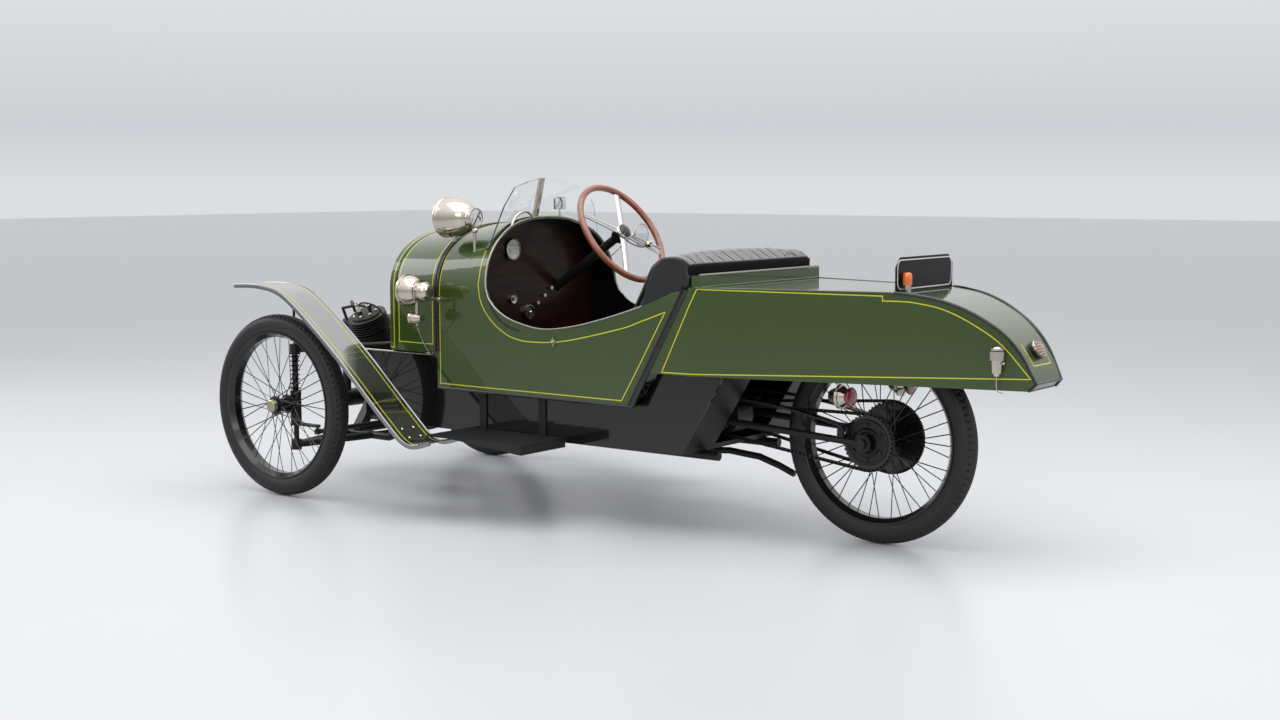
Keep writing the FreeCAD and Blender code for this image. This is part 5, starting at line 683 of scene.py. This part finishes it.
tail_line = [(-0.5381, 0.377, 0.8505), (-1.1426, 0.2177, 0.844), (-1.143, 0.2175, 0.8286)]
tail_line += [tuple(p) for p in flowing([(-1.19, 0.205, 0.8286), (-1.2385, 0.1924, 0.8256),
    (-1.3283, 0.1688, 0.8071), (-1.4172, 0.1454, 0.7647), (-1.5061, 0.1219, 0.7027),
    (-1.595, 0.0986, 0.5994)], 6)]
tail_line += [(-0.538, 0.377, 0.569), (-0.3983, flank, 0.5673)]
end_shares = [(1, 1), (0.88, 0.985), (0.669, 0.925), (0.46, 0.8), (0.251, 0.59), (0.113, 0.345),
    (0, 0)]
end_line = flowing([(tail_x + tail_curl * s, 0.0, 0.584 + 0.271 * t) for s, t in end_shares], 6)
for side, tag in both:
    pinstripe("line_tail_" + tag, [(x, side * (y + 0.004), z) for x, y, z in tail_line], "tail",
        closed=True)
    tube("tail_end_bead_" + tag,
        [(p.x, side * tail_side(p.x), p.z) for p in end_line] + [(-1.5885, side * 0.0985, 0.562)],
        0.0052, dark_bead)
    tube("deck_bead_" + tag,
        [(x, side * (tail_side(x) - 0.001), 0.8545) for x in (-0.53, -0.85, -1.17)], 0.0032,
        green_paint)
tube("tail_tip_bead", [(-1.6095, -0.093, 0.5845), (-1.6095, 0.093, 0.5845)], 0.0048, dark_bead)
tip_plate = bmesh.new()
tip_corners = ((-1.5875, 0.0975, 0.562), (-1.5875, -0.0975, 0.562), (-1.6085, -0.0925, 0.5845),
    (-1.6085, 0.0925, 0.5845))
walls(tip_plate, [[(x - thick, y, z) for x, y, z in tip_corners] for thick in (0, 0.0015)])
settle(built("tail_tip_plate", tip_plate), dark_bead)
tube("tail_foot_bead", [(-1.588, -0.098, 0.5625), (-1.588, 0.098, 0.5625)], 0.0036, dark_bead)
tip_line = []
for y, share in ((0.064, 0.15), (0.062, 0.055), (-0.062, 0.055), (-0.064, 0.15)):
    k = min(range(len(end_line)), key=lambda i: abs((end_line[i].x - tail_x) / tail_curl - share))
    tip_line.append((end_line[k].x - 0.01, y, end_line[k].z + 0.01))
pinstripe("line_tail_tip", tip_line, "tail")


# Number plate: a pressed black plate with a white painted border line, on the
# deck's end over two short brackets.

plate_black = finish("plate_black", (0.003, 0.0032, 0.0036), (0.006, 0.0062, 0.007), 50, 0.6, 0.42,
    0.14, 0.05, 0.0003, Specular_IOR_Level=0.22)
dress(plate_black, "number_plate")
white_paint = finish("white_paint", (0.74, 0.74, 0.72), (0.64, 0.64, 0.62), 60, 0.6, 0.4, 0.1,
    0.04, 0.0003)
border = []
for cy, cz, first in ((0.161, 0.934, 0), (-0.161, 0.934, 90), (-0.161, 0.886, 180),
        (0.161, 0.886, 270)):
    for k in range(7):
        turn = math.radians(first + 15 * k)
        border.append((-1.176, cy + math.cos(turn) * 0.022, cz + math.sin(turn) * 0.022))
pinstripe("plate_border", border, "number_plate", 0.0036, white_paint, closed=True)


# Tail lights: two nickel lamps over the rear wheel with red glasses, small nickel side
# lamps low on the tail, an orange winker on the deck and a barred red reflector.

dress(nickel, "tail_lamps", "tail_fittings", "scuttle_fittings")


def lens_glass(name, colour, deep, gloss):
    return finish(name, colour, deep, 160, 0.8, gloss, 0.06, 0.3, 0.0006, Coat_Weight=0.6,
        Coat_Roughness=0.05, Specular_IOR_Level=0.6)


red_glass = lens_glass("red_glass", (0.22, 0.008, 0.01), (0.09, 0.003, 0.005), 0.16)
lamp_facets = finish("lamp_facets", (0.46, 0.42, 0.37), (0.1, 0.08, 0.07), 520, 0.8, 0.2, 0.05,
    0.3, 0.0012, Specular_IOR_Level=0.7, Coat_Weight=0.6, Coat_Roughness=0.05)
orange_glass = lens_glass("orange_glass", (0.8, 0.17, 0.015), (0.6, 0.1, 0.008), 0.22)
turned("winker_lens", [(0, 0), (0, 15), (3, 15.6), (30, 15), (36, 13.2), (39.5, 9), (40, 0)],
    (-1.1925, 0.15, 0.8778), (0, 0, 1), orange_glass, steps=32)
outward = Vector((-0.826, 0, 0.564))
seat_centre = Vector((-1.5613, 0, 0.6775))
turned("reflector_lens", [(16.5, 0), (16.5, 28), (18.8, 27.8), (20.5, 24), (21.6, 15), (22, 0)],
    seat_centre, outward, red_glass)
turned("reflector_rim", [(12, 30.2), (19, 30.4), (20.2, 29.6), (19.6, 28.2), (17, 28)],
    seat_centre, outward, nickel, steps=48)
turned("reflector_shell", [(-2, 29.6), (-1, 30.6), (12.5, 30.6), (13, 29.8)], seat_centre, outward,
    black_gloss, steps=48)
bar_run = Vector((0.564, 0, 0.826))
for k in range(-2, 3):
    reach = math.sqrt(0.028 ** 2 - (k * 0.0098) ** 2)
    start = seat_centre + outward * 0.0192 + bar_run * (k * 0.0098)
    tube("reflector_bar_%d" % (k + 3), [start + Vector((0, reach, 0)), start + outward * 0.0022,
        start - Vector((0, reach, 0))], 0.0019, nickel, sides=2)
for y, tag in ((0.2, "left"), (-0.2, "right")):
    turned("tail_lamp_glass_" + tag, [(30, 0), (30, 30), (38.5, 33), (42, 30), (44, 17), (45, 0)],
        (-0.9855, y, 0.511), (-1, 0, 0), red_glass)
for side, tag in both:
    foot = Vector((-1.5055, side * 0.153, 0.609))
    for part, paint, outline in (("band", nickel, [(80, 20.5), (80, 22.2), (83, 22.6), (86, 22.2),
            (86, 20.5)]), ("glass", lamp_facets, [(48, 19), (48, 21.2), (58, 21.7), (64, 22.1),
            (71, 22.1), (77, 21.7), (77, 20)]), ("ring", black_gloss, [(76.5, 20), (76.5, 21.8),
            (78, 22.4), (80, 22.2), (80, 20)])):
        turned("tail_side_lamp_%s_%s" % (part, tag), outline, foot, (0, 0, 1), paint, steps=40)
    turned("tail_side_lamp_knob_" + tag, [(0, 0), (0, 3.2), (6, 3), (7, 4.8), (11, 4.8),
        (11.8, 0)], foot + Vector((-0.0175, side * 0.002, 0.04)), (-1, 0, 0), nickel, steps=20)


# Seats: black hide over horsehair and springs. The back is sewn in upright
# flutes that run on over its top, with a plain end panel, and all edges are piped.

leather = finish("leather", (0.0045, 0.0045, 0.005), (0.011, 0.011, 0.0125), 260, 0.8, 0.33, 0.12,
    0.35, 0.0006, "black_leather", Specular_IOR_Level=0.4, Coat_Weight=0.55, Coat_Roughness=0.34,
    Coat_IOR=1.75)
nodes, links = leather.node_tree.nodes, leather.node_tree.links
shader = next(item for item in nodes if item.type == "BSDF_PRINCIPLED")
facing = add_node(nodes, "NewGeometry")
split = add_node(nodes, "SeparateXYZ")
sideways = add_node(nodes, "Math", operation="ABSOLUTE")
plain = add_node(nodes, "MapRange", From_Min=0.45, From_Max=0.85, To_Min=0.85, To_Max=0.04)
wire(links, (facing, "Normal", split, 0), (split, "Y", sideways, 0), (sideways, 0, plain, "Value"),
    (plain, "Result", shader, "Coat Weight"))
dress(leather, "seat_back", "seat_cushion")


def stuffed(name, node_name, shrink, cap, pressure):
    """A padded copy of the node, blown up as cloth over its stuffing and held to a cap."""
    piece = take(placed(name, cad[node_name].data.copy()))
    edit_all()
    bpy.ops.mesh.remove_doubles(threshold=0.00005)
    mode("OBJECT")
    low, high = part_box(node_name)
    middle = (low + high) / 2
    size = high - low
    for v in piece.data.vertices:
        v.co = Vector(middle[i] + (v.co[i] - middle[i]) * (1 - 2 * shrink / size[i]) for i
            in range(3))
    piece.data.remesh_voxel_size = 0.0085
    bpy.ops.object.voxel_remesh()
    rest = [v.co.copy() for v in piece.data.vertices]
    cloth = piece.modifiers.new("stuffing", "CLOTH")
    cloth.settings.use_pressure = True
    cloth.settings.uniform_pressure_force = pressure
    cloth.settings.effector_weights.gravity = 0
    cloth.settings.quality = 4
    cloth.point_cache.frame_start = 1
    cloth.point_cache.frame_end = 14
    for number in range(1, 15):
        bpy.context.scene.frame_set(number)
    take(piece)
    bpy.ops.object.modifier_apply(modifier="stuffing")
    bpy.context.scene.frame_set(1)
    for v, start in zip(piece.data.vertices, rest):
        way_out = v.co - start
        if way_out.length > cap:
            v.co = start + way_out.normalized() * cap
    fuller = piece.modifiers.new("fuller", "SUBSURF")
    fuller.levels = 1
    fuller.render_levels = 1
    take(piece)
    bpy.ops.object.modifier_apply(modifier="fuller")
    return piece


def slab(name, low, high, edge, paint):
    """A block between two corners, its edges rounded over."""
    deselect()
    low, high = Vector(low), Vector(high)
    bpy.ops.mesh.primitive_cube_add(size=1, location=(low + high) / 2)
    piece = bpy.context.object
    piece.name = name
    piece.scale = high - low
    bpy.ops.object.transform_apply(location=True, rotation=True, scale=True)
    edit_all()
    bpy.ops.mesh.bevel(offset=edge, segments=3, affect="EDGES")
    mode("OBJECT")
    smooth(35)
    return settle(piece, paint)


back = stuffed("seat_back_hide", "seat_back", 0.003, 0.016, 4.0)
flute = 0.057
low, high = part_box("seat_back")
for v in back.data.vertices:
    rise = max(0.0, min(1.0, (v.co.z - 0.6) / 0.3))
    crown = 0.012 + 0.012 * (1 - (v.co.y / 0.371) ** 2)
    v.co.z += crown * rise * rise * (3 - 2 * rise)
    v.co.y *= 1.0 if abs(v.co.y) < 0.3 else 1 + 0.012 * (abs(v.co.y) - 0.3) / 0.071
back.data.update()
for v, out in zip(back.data.vertices, [n.vector.copy() for n in back.data.vertex_normals]):
    y = v.co.y
    if abs(out.y) < 0.6 and abs(y) < 0.356 and v.co.z > 0.53:
        part_way = (y / flute + 0.5) % 1.0
        puff = math.sin(math.pi * part_way) ** 0.6
        front_top = max(0.0, min(1.0, (out.x * 0.85 + out.z * 0.9 + 0.25) * 2.5))
        v.co += out * (0.008 * puff - 0.009) * front_top
for v in back.data.vertices:
    v.co.y = min(0.3705, max(-0.3705, v.co.y))
    v.co.x = max(low[0] - 0.004, v.co.x)
bpy.ops.object.shade_smooth()
settle(back, leather)
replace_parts(back, "seat_back")
pad = stuffed("seat_cushion_hide", "seat_cushion", 0.009, 0.014, 4.0)
for v, out in zip(pad.data.vertices, [n.vector.copy() for n in pad.data.vertex_normals]):
    if out.z > 0.3 and abs(v.co.y) < 0.345 and -0.21 < v.co.x < 0.17:
        part_way = (v.co.y / flute + 0.5) % 1.0
        dip = 1 - min(1.0, math.sin(math.pi * part_way) * 1.6) ** 0.8
        v.co.z -= 0.0065 * dip
low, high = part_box("seat_cushion")
for v in pad.data.vertices:
    for i, stand in enumerate((0.003, 0.0, 0.008)):
        v.co[i] = min(high[i] + stand, max(low[i] - stand, v.co[i]))
bpy.ops.object.shade_smooth()
settle(pad, leather)
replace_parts(pad, "seat_cushion")
piping = finish("piping", (0.01, 0.01, 0.011), (0.024, 0.024, 0.026), 200, 0.7, 0.3, 0.14, 0.3,
    0.0004, "black_leather", Coat_Weight=0.3)
profile = [(-0.1125, 0.5203), (-0.2536, 0.7731), (-0.3195, 0.9014), (-0.3497, 0.9371),
    (-0.3896, 0.9623), (-0.4367, 0.9693), (-0.4825, 0.9623), (-0.5147, 0.9431)]
seam = flowing([(x, 0.0, z) for x, z in profile], 6)
for side, tag in both:
    edge = [v.co for v in back.data.vertices if 0.356 < side * v.co.y < 0.366]
    welt = []
    for k, p in enumerate(seam):
        run = (seam[min(k + 1, len(seam) - 1)] - seam[max(k - 1, 0)]).normalized()
        out = Vector((run.z, 0, -run.x))
        near = [(v - p).dot(out) for v in edge if abs((v - p).dot(run)) < 0.009 and abs((v
            - p).dot(out)) < 0.05]
        welt.append(p + out * ((max(near) if near else 0.0) - 0.003))
    for turn in range(3):
        welt = [welt[0]] + [(a + m * 2 + z) / 4 for a, m,
            z in zip(welt, welt[1:], welt[2:])] + [welt[-1]]
    tube("seat_welt_" + tag, [Vector((p.x, side * 0.364, p.z)) for p in welt], 0.0046, piping)
rear = [v.co for v in back.data.vertices if abs(v.co.y) < 0.345 and 0.925 < v.co.z < 0.935]
rear_x = min(p.x for p in rear) + 0.002
strip_x = min(v.co.x for v in back.data.vertices if v.co.z > 0.885) - 0.0015
tube("seat_welt_rear", [(rear_x, -0.364, 0.93), (rear_x, 0.364, 0.93)], 0.0048, piping)
# Dull near black, darker than the hide: seam lines in the flute valleys, drawn dark as painted
# shade in those creases, and a painted shadow under the top roll at the back.
seam_and_painted_shade_black = finish("seam_and_painted_shade_black", (0.002, 0.002, 0.0022), (0.005, 0.005, 0.006), 180, 0.7, 0.8,
    0.1, 0.3, 0.0004, "black_leather", Specular_IOR_Level=0.12)
hide = BVHTree.FromPolygons([v.co for v in back.data.vertices],
    [p.vertices for p in back.data.polygons])
# A line down each flute valley: the seam is real, but its dark dull colour is painted shade in the
# crease.
for k in range(-6, 6):
    laid = []
    for p, after in zip(seam[2:], seam[3:]):
        out = Vector(((after - p).z, 0, -(after - p).x)).normalized() * -1
        if out.z < 0 or (out.z < 0.3 and out.x < 0):
            out = -out
        start = Vector((p.x, (k + 0.5) * flute, p.z)) + out * 0.08
        hit = hide.ray_cast(start, -out, 0.14)
        if hit[0]:
            laid.append(hit[0] - hit[1] * 0.0004)
    tube("flute_seam_shade_%02d" % (k + 7), laid, 0.0027, seam_and_painted_shade_black, sides=2)
# A dull black strip along the back under the top roll: a painted shadow.
slab("seat_back_shadow_strip", (strip_x, -0.3665, 0.8965), (rear_x + 0.006, 0.3665, 0.927), 0.0012,
    seam_and_painted_shade_black)
# A dull nickel bead along the ledge's top edge makes a light line where the green edge catches the
# sky: a painted highlight.
tube("seat_ledge_highlight_bead", [(-0.5455, -0.3715, 0.896), (-0.5455, 0.3715, 0.896)], 0.005, dull_nickel)
tube("seat_ledge_foot", [(-0.5485, -0.369, 0.857), (-0.5485, 0.369, 0.857)], 0.004, green_paint)


# Dashboard: one mahogany board, stained nearly black and screwed across the scuttle,
# with a nickel rimmed dial, a small gauge and a turned switch.

def wood(name, stretch, scale, distortion, browns, bump, depth, **polish):
    """Polished wood, its streaks drawn out along the board."""
    made = bpy.data.materials.new(name)
    nodes, links = tree_of(made)
    out = add_node(nodes, "OutputMaterial")
    shader = add_node(nodes, "BsdfPrincipled", **polish)
    place = add_node(nodes, "TexCoord")
    drawn = add_node(nodes, "Mapping", Scale=stretch)
    streak = add_node(nodes, "TexNoise", Scale=scale, Detail=8.0, Distortion=distortion)
    tone = shades(nodes, *browns)
    relief = add_node(nodes, "Bump", Strength=bump, Distance=depth)
    wire(links, (place, "Object", drawn, "Vector"), (drawn, 0, streak, "Vector"),
        (streak, "Fac", tone, "Fac"), (tone, "Color", shader, "Base Color"),
        (streak, "Fac", relief, "Height"), (relief, "Normal", shader, "Normal"),
        (shader, 0, out, "Surface"))
    return made


dark_wood = wood("dark_wood", (9.0, 1.4, 16.0), 4.0, 0.7, ((0.3, (0.0062, 0.0022, 0.0018)),
    (0.72, (0.023, 0.0058, 0.004))), 0.12, 0.0004, Roughness=0.3, Coat_Weight=0.12,
    Coat_Roughness=0.1, Specular_IOR_Level=0.15)
dress(dark_wood, "dashboard")
dress(nickel, "instruments")
dial_face = finish("dial_face", (0.7, 0.69, 0.64), (0.58, 0.57, 0.52), 80, 0.5, 0.45, 0.1, 0.03,
    0.0002)
dial_ink = finish("dial_ink", (0.01, 0.01, 0.012), (0.025, 0.025, 0.028), 90, 0.5, 0.5, 0.1, 0.03,
    0.0002)
clear_glass = bpy.data.materials.new("clear_glass")
nodes, links = tree_of(clear_glass)
out = add_node(nodes, "OutputMaterial")
shader = add_node(nodes, "BsdfPrincipled", IOR=1.45, Transmission_Weight=1.0)
haze = add_node(nodes, "TexNoise", Scale=14.0, Detail=4.0)
place = add_node(nodes, "TexCoord")
clear = add_node(nodes, "MapRange", To_Min=0.0, To_Max=0.006)
tone = shades(nodes, (0.0, (0.955, 0.975, 0.965)), (1.0, (0.97, 0.985, 0.98)))
wire(links, (place, "Object", haze, "Vector"), (haze, "Fac", clear, "Value"),
    (haze, "Fac", tone, "Fac"), (clear, "Result", shader, "Roughness"),
    (tone, "Color", shader, "Base Color"), (shader, 0, out, "Surface"))


def flat_disc(name, centre, axis, radius, thick, paint, dome=0):
    """A thin face with a rounded edge, standing on its centre; its sizes are in mm."""
    return turned(name, [(0, 0), (0, radius), (thick * 0.6, radius), (thick, radius - thick * 0.4),
        (thick + dome * 0.6, radius * 0.6), (thick + dome, 0)], centre, axis, paint, steps=40)


dial_y, dial_z, gauge_z, first_figure = 0.107, 0.949, 0.76, 225
board_x = 0.507
switch_at = (0.504, 0.016, 0.706)
back_way = Vector((-1, 0, 0))
flat_disc("dial_card", (board_x, dial_y, dial_z), back_way, 35.8, 1.2, dial_face)


def dial_way(degrees):
    """The way out from the dial's middle at an angle, as the driver sees it."""
    turn = math.radians(degrees)
    return Vector((0, -math.cos(turn), math.sin(turn)))


ticks = bmesh.new()
for k in range(31):
    start, wide = (0.0235, 0.0011) if k % 5 == 0 else (0.0265, 0.0006)
    end = 0.0305
    along = dial_way(first_figure - 9 * k)
    across = Vector((0, along.z, -along.y)) * wide / 2
    centre = Vector((0.50568, dial_y, dial_z))
    corners = [centre + along * start - across, centre + along * start + across,
        centre + along * end + across, centre + along * end - across]
    walls(ticks, [[c + Vector((push, 0, 0)) for c in corners] for push in (0, 0.0004)])
settle(built("dial_ticks", ticks), dial_ink)
for k in range(7):
    figure = bpy.data.curves.new("dial_figure_%d" % k, "FONT")
    figure.body = str(k * 10)
    figure.size = 0.0085
    figure.align_x = figure.align_y = "CENTER"
    figure.extrude = 0.0002
    take(placed(figure.name, figure))
    bpy.ops.object.convert(target="MESH")
    figure = bpy.context.object
    figure.data.transform(Matrix(((0, 0, -1, 0), (-1, 0, 0, 0), (0, 1, 0, 0), (0, 0, 0, 1))))
    figure.data.transform(Matrix.Translation(Vector((0.50555, dial_y,
        dial_z)) + dial_way(first_figure - 45 * k) * 0.0185))
    settle(figure, dial_ink)
needle_way = dial_way(200)
needle_foot = Vector((0.5045, dial_y, dial_z))
tube("dial_needle", [needle_foot - needle_way * 0.008, needle_foot + needle_way * 0.027], 0.0007,
    dial_ink, sides=1)
flat_disc("dial_boss", (0.5056, dial_y, dial_z), back_way, 3.5, 1.6, nickel, 1)
flat_disc("dial_glass", (0.5024, dial_y, dial_z), back_way, 35.8, 1, clear_glass, 0.8)
flat_disc("gauge_card", (board_x, dial_y, gauge_z), back_way, 14.5, 1.2, dial_face)
flat_disc("gauge_centre", (0.506, dial_y, gauge_z), back_way, 8.5, 0.8, dial_ink)
flat_disc("switch_face", (board_x, *switch_at[1:]), back_way, 25, 1.4, dial_ink, 3)
turned("switch_key", [(0, 0), (0, 7.5), (3, 8), (9, 6.2), (11, 4), (11.5, 0)], switch_at, back_way,
    nickel, steps=24)


# Steering wheel: a beech rim over a steel hoop, on four polished aluminium spokes, with
# a black boss cap and the throttle and air levers on one clamp.

rim_wood = wood("rim_wood", (1, 1, 1), 26.0, 1.2, ((0.28, (0.15, 0.036, 0.014)),
    (0.74, (0.31, 0.088, 0.034))), 0.1, 0.0003, Roughness=0.34, Coat_Weight=0.7,
    Coat_Roughness=0.08)
dress(rim_wood, "steering_wheel_rim")
dress(black_satin, "steering_column")
to_driver = Vector((-0.835, 0, 0.55)).normalized()
wheel_centre = Vector((0.1935, -0.163, 1.008))
hub_top = wheel_centre + to_driver * 0.012
spider = turned("wheel_spider", [(-2, 0), (-2, 29), (4, 32.5), (10, 32.5), (12.5, 30), (12.5, 0)],
    wheel_centre, to_driver, aluminium, "steering_wheel")
up_way = Vector((-to_driver.z, 0, to_driver.x)) * -1
cant = Matrix.Rotation(math.radians(-28), 4, to_driver)
lever_way = cant @ Vector((0, -1, 0))
arm_way = cant @ up_way
arms = bmesh.new()
arm_section = ((-1, -0.3), (-0.85, -1), (0.85, -1), (1, -0.3), (1, 0.3), (0.72, 0.75), (0.34, 0.8),
    (0.24, 1.15), (-0.24, 1.15), (-0.34, 0.8), (-0.72, 0.75), (-1, 0.3))
for run in (arm_way, -arm_way, -lever_way, lever_way):
    across = to_driver.cross(run).normalized()
    rings = []
    for reach, half, lift, thick in ((0.024, 0.0155, 0.004, 0.005), (0.034, 0.014, 0.0035, 0.0048),
            (0.07, 0.0128, 0.003, 0.0044), (0.15, 0.0115, 0.001, 0.004),
            (0.186, 0.0125, 0.0, 0.0036), (0.195, 0.015, 0.0, 0.0034)):
        middle = wheel_centre + run * reach + to_driver * lift
        rings.append([middle + across * half * s + to_driver * thick * t for s, t in arm_section])
    walls(arms, rings)
take(settle(built("wheel_arms", arms), aluminium, "steering_wheel"))
smooth(30)
turned("wheel_hub", [(-4, 0), (-4, 30), (-30, 27), (-33.5, 24), (-33.5, 0)], wheel_centre,
    to_driver, black_satin, "steering_wheel")
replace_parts(spider, "steering_wheel_spokes")
turned("boss_cap", [(0, 0), (0, 27), (4, 28.5), (9, 27), (13, 21), (15, 11), (15.5, 0)], hub_top,
    to_driver, black_gloss, "steering_wheel")
turned("boss_ring", [(0, 28), (0, 30.5), (4, 30.5), (5, 29), (5, 28), (0, 28)], hub_top, to_driver,
    nickel, "steering_wheel")
clamp_at = wheel_centre + lever_way * 0.128 + to_driver * 0.012
turned("lever_clamp", [(0, 0), (0, 13), (6, 14.5), (11, 12), (11.5, 6), (18, 5.5), (20, 3.5),
    (20.5, 0)], clamp_at - to_driver * 0.002, to_driver, nickel, "steering_wheel", 28)
tube("lever_blade", [wheel_centre + lever_way * 0.04 + to_driver * 0.013,
    clamp_at + to_driver * 0.002, clamp_at + lever_way * 0.05 + to_driver * 0.006], 0.0028, nickel,
    body="steering_wheel")
tube("lever_cable", flowing([wheel_centre + lever_way * 0.03 - to_driver * 0.02,
    wheel_centre + lever_way * 0.075 - to_driver * 0.024,
    wheel_centre + lever_way * 0.115 - to_driver * 0.018, clamp_at - to_driver * 0.012], 5),
    0.0022, black_satin, body="steering_wheel")


# Screen: two raked panes of plate glass clamped to a nickel centre post. Along their
# foot a dark strip on the scuttle stands for the paint's dark reflection there, a
# painted reflection. Mirrors, handle and spot lamp stand round it.

dress(clear_glass, "windscreen_left", "windscreen_right")
dress(nickel, "screen_post", "spot_lamp", "side_lamp_left", "side_lamp_right")
# Dark strips along the glass foot: a painted reflection of dark surroundings in the scuttle's
# green paint.
for side, tag in both:
    foot_line = []
    for k in range(2, 17):
        y = 0.33 * k / 16
        x = 0.4865 - 0.247 * y
        share = (x - 0.4095) / 0.235
        half = flank - 0.005 * share
        rise = (1.074 - 0.032 * share) - spring_z
        z = spring_z + rise * (1 - (y / half) ** fullness) ** (1 / fullness)
        foot_line.append((0.4865 - 0.247 * y - 0.248 * (z - 1.076), side * y, z + 0.002))
    tube("screen_foot_dark_reflection_" + tag, foot_line, 0.0062, dark_bead)
spot_y, spot_z = 0.325, 1.072
turned("spot_lamp_shell", [(0, 70.5), (0, 75.2), (-6, 76.2), (-10, 75.2), (-12, 73.8), (-26, 74.2),
    (-48, 73), (-70, 69.2), (-92, 61.8), (-110, 51.5), (-122, 40), (-127.5, 30), (-127.5, 24)],
    (0.64, spot_y, spot_z), (1, 0, 0), nickel, steps=72)
turned("spot_lamp_drain", [(0, 0), (0, 6.5), (10, 6), (12, 8.5), (16, 8.5), (17.5, 0)],
    (0.6, spot_y, 0.9995), (0, 0, -1), nickel, steps=20)
mirror_silver = finish("mirror_silver", (0.8, 0.82, 0.83), (0.74, 0.76, 0.78), 30, 0.4, 0.04, 0.04,
    0.01, 0.0002, Metallic=1.0)
flat_disc("spot_mirror_glass", (0.492, spot_y, spot_z), back_way, 31.2, 1, mirror_silver, 1.5)
slab("driving_mirror_glass", (0.4262, -0.1085, 1.1005), (0.4274, -0.0515, 1.1415), 0.0005,
    mirror_silver)
flat_disc("far_mirror_glass", (0.2985, -0.425, 0.993), back_way, 40.5, 1.2, mirror_silver, 1.5)
lamp_glass = finish("lamp_glass", (0.52, 0.53, 0.52), (0.4, 0.41, 0.41), 50, 0.6, 0.1, 0.06, 0.35,
    0.001, Coat_Weight=1.0, Coat_Roughness=0.03)
flat_disc("spot_lamp_glass", (0.638, spot_y, spot_z), (1, 0, 0), 68, 1.5, lamp_glass, 4)
for side, tag in both:
    flat_disc("side_lamp_glass_" + tag, (0.7022, side * 0.475, 0.805), (1, 0, 0), 53, 1.5,
        lamp_glass, 3)


# Wings: rolled steel blades with wired edges, stoved black and lined in yellow, bolted
# at the foot to flat steel running steps.

wing_black = finish("wing_black", (0.003, 0.003, 0.0034), (0.006, 0.006, 0.0065), 12, 0.6, 0.22,
    0.1, 0.02, 0.0004, "black_enamel", Specular_IOR_Level=0.6, Coat_Weight=1.0,
    Coat_Roughness=0.05, Coat_IOR=2.5)
dress(wing_black, "front_wing_left", "front_wing_right")
dress(black_satin, "running_step_left", "running_step_right")
wing_shares = [(1.0, 1.0), (0.922, 1.006), (0.845, 1.0), (0.757, 0.965), (0.68, 0.885),
    (0.568, 0.728), (0.439, 0.53), (0.299, 0.293), (0.175, 0.085), (0.131, 0.024), (0.093, 0.002),
    (0.049, 0.012)]
wing_curve = flowing([(1.4295 - 1.03 * (1 - s), 0, 0.272 + 0.54 * t) for s, t in wing_shares], 6)
for side, tag in both:
    host = "front_wing_" + tag
    above = []
    for k, p in enumerate(wing_curve):
        before = wing_curve[max(0, k - 1)]
        after = wing_curve[min(len(wing_curve) - 1, k + 1)]
        run = (after - before).normalized()
        above.append(p + Vector((run.z, 0, -run.x)) * 0.004)
    for y, mark in ((0.544, "inner"), (0.656, "outer")):
        pinstripe("line_wing_%s_%s" % (mark, tag), [(p.x, side * y, p.z) for p in above[2:-3]],
            host)
    for y, mark in ((0.522, "inner"), (0.678, "outer")):
        tube("wing_wire_%s_%s" % (mark, tag), [(p.x, side * y, p.z - 0.001) for p in wing_curve],
            0.0042, wing_black)
    foot_line = flowing([(0.47, side * 0.544, 0.28), (0.444, side * 0.55, 0.276),
        (0.438, side * 0.566, 0.2755), (0.437, side * 0.6, 0.2755), (0.438, side * 0.634, 0.2755),
        (0.444, side * 0.65, 0.276), (0.47, side * 0.656, 0.28)], 5)
    pinstripe("line_wing_foot_" + tag, foot_line, host)
    for x, y, mark in ((0.545, 0.572, 1), (0.545, 0.628, 2), (0.582, 0.572, 3), (0.582, 0.628, 4)):
        top = min(wing_curve, key=lambda p: abs(p.x - x))
        at = wing_curve.index(top)
        run = (wing_curve[at + 1] - wing_curve[at - 1]).normalized()
        out = Vector((run.z, 0, -run.x))
        out = out if out.z > 0 else -out
        hit = shell_of(host).find_nearest(Vector((x, side * y, top.z)) + out * 0.01)
        turned("wing_rivet_%d_%s" % (mark, tag), [(-1, 0), (-1, 5.2), (0.8, 5.2), (2.2, 3.6),
            (2.7, 0)], hit[0], hit[1], nickel, steps=16)
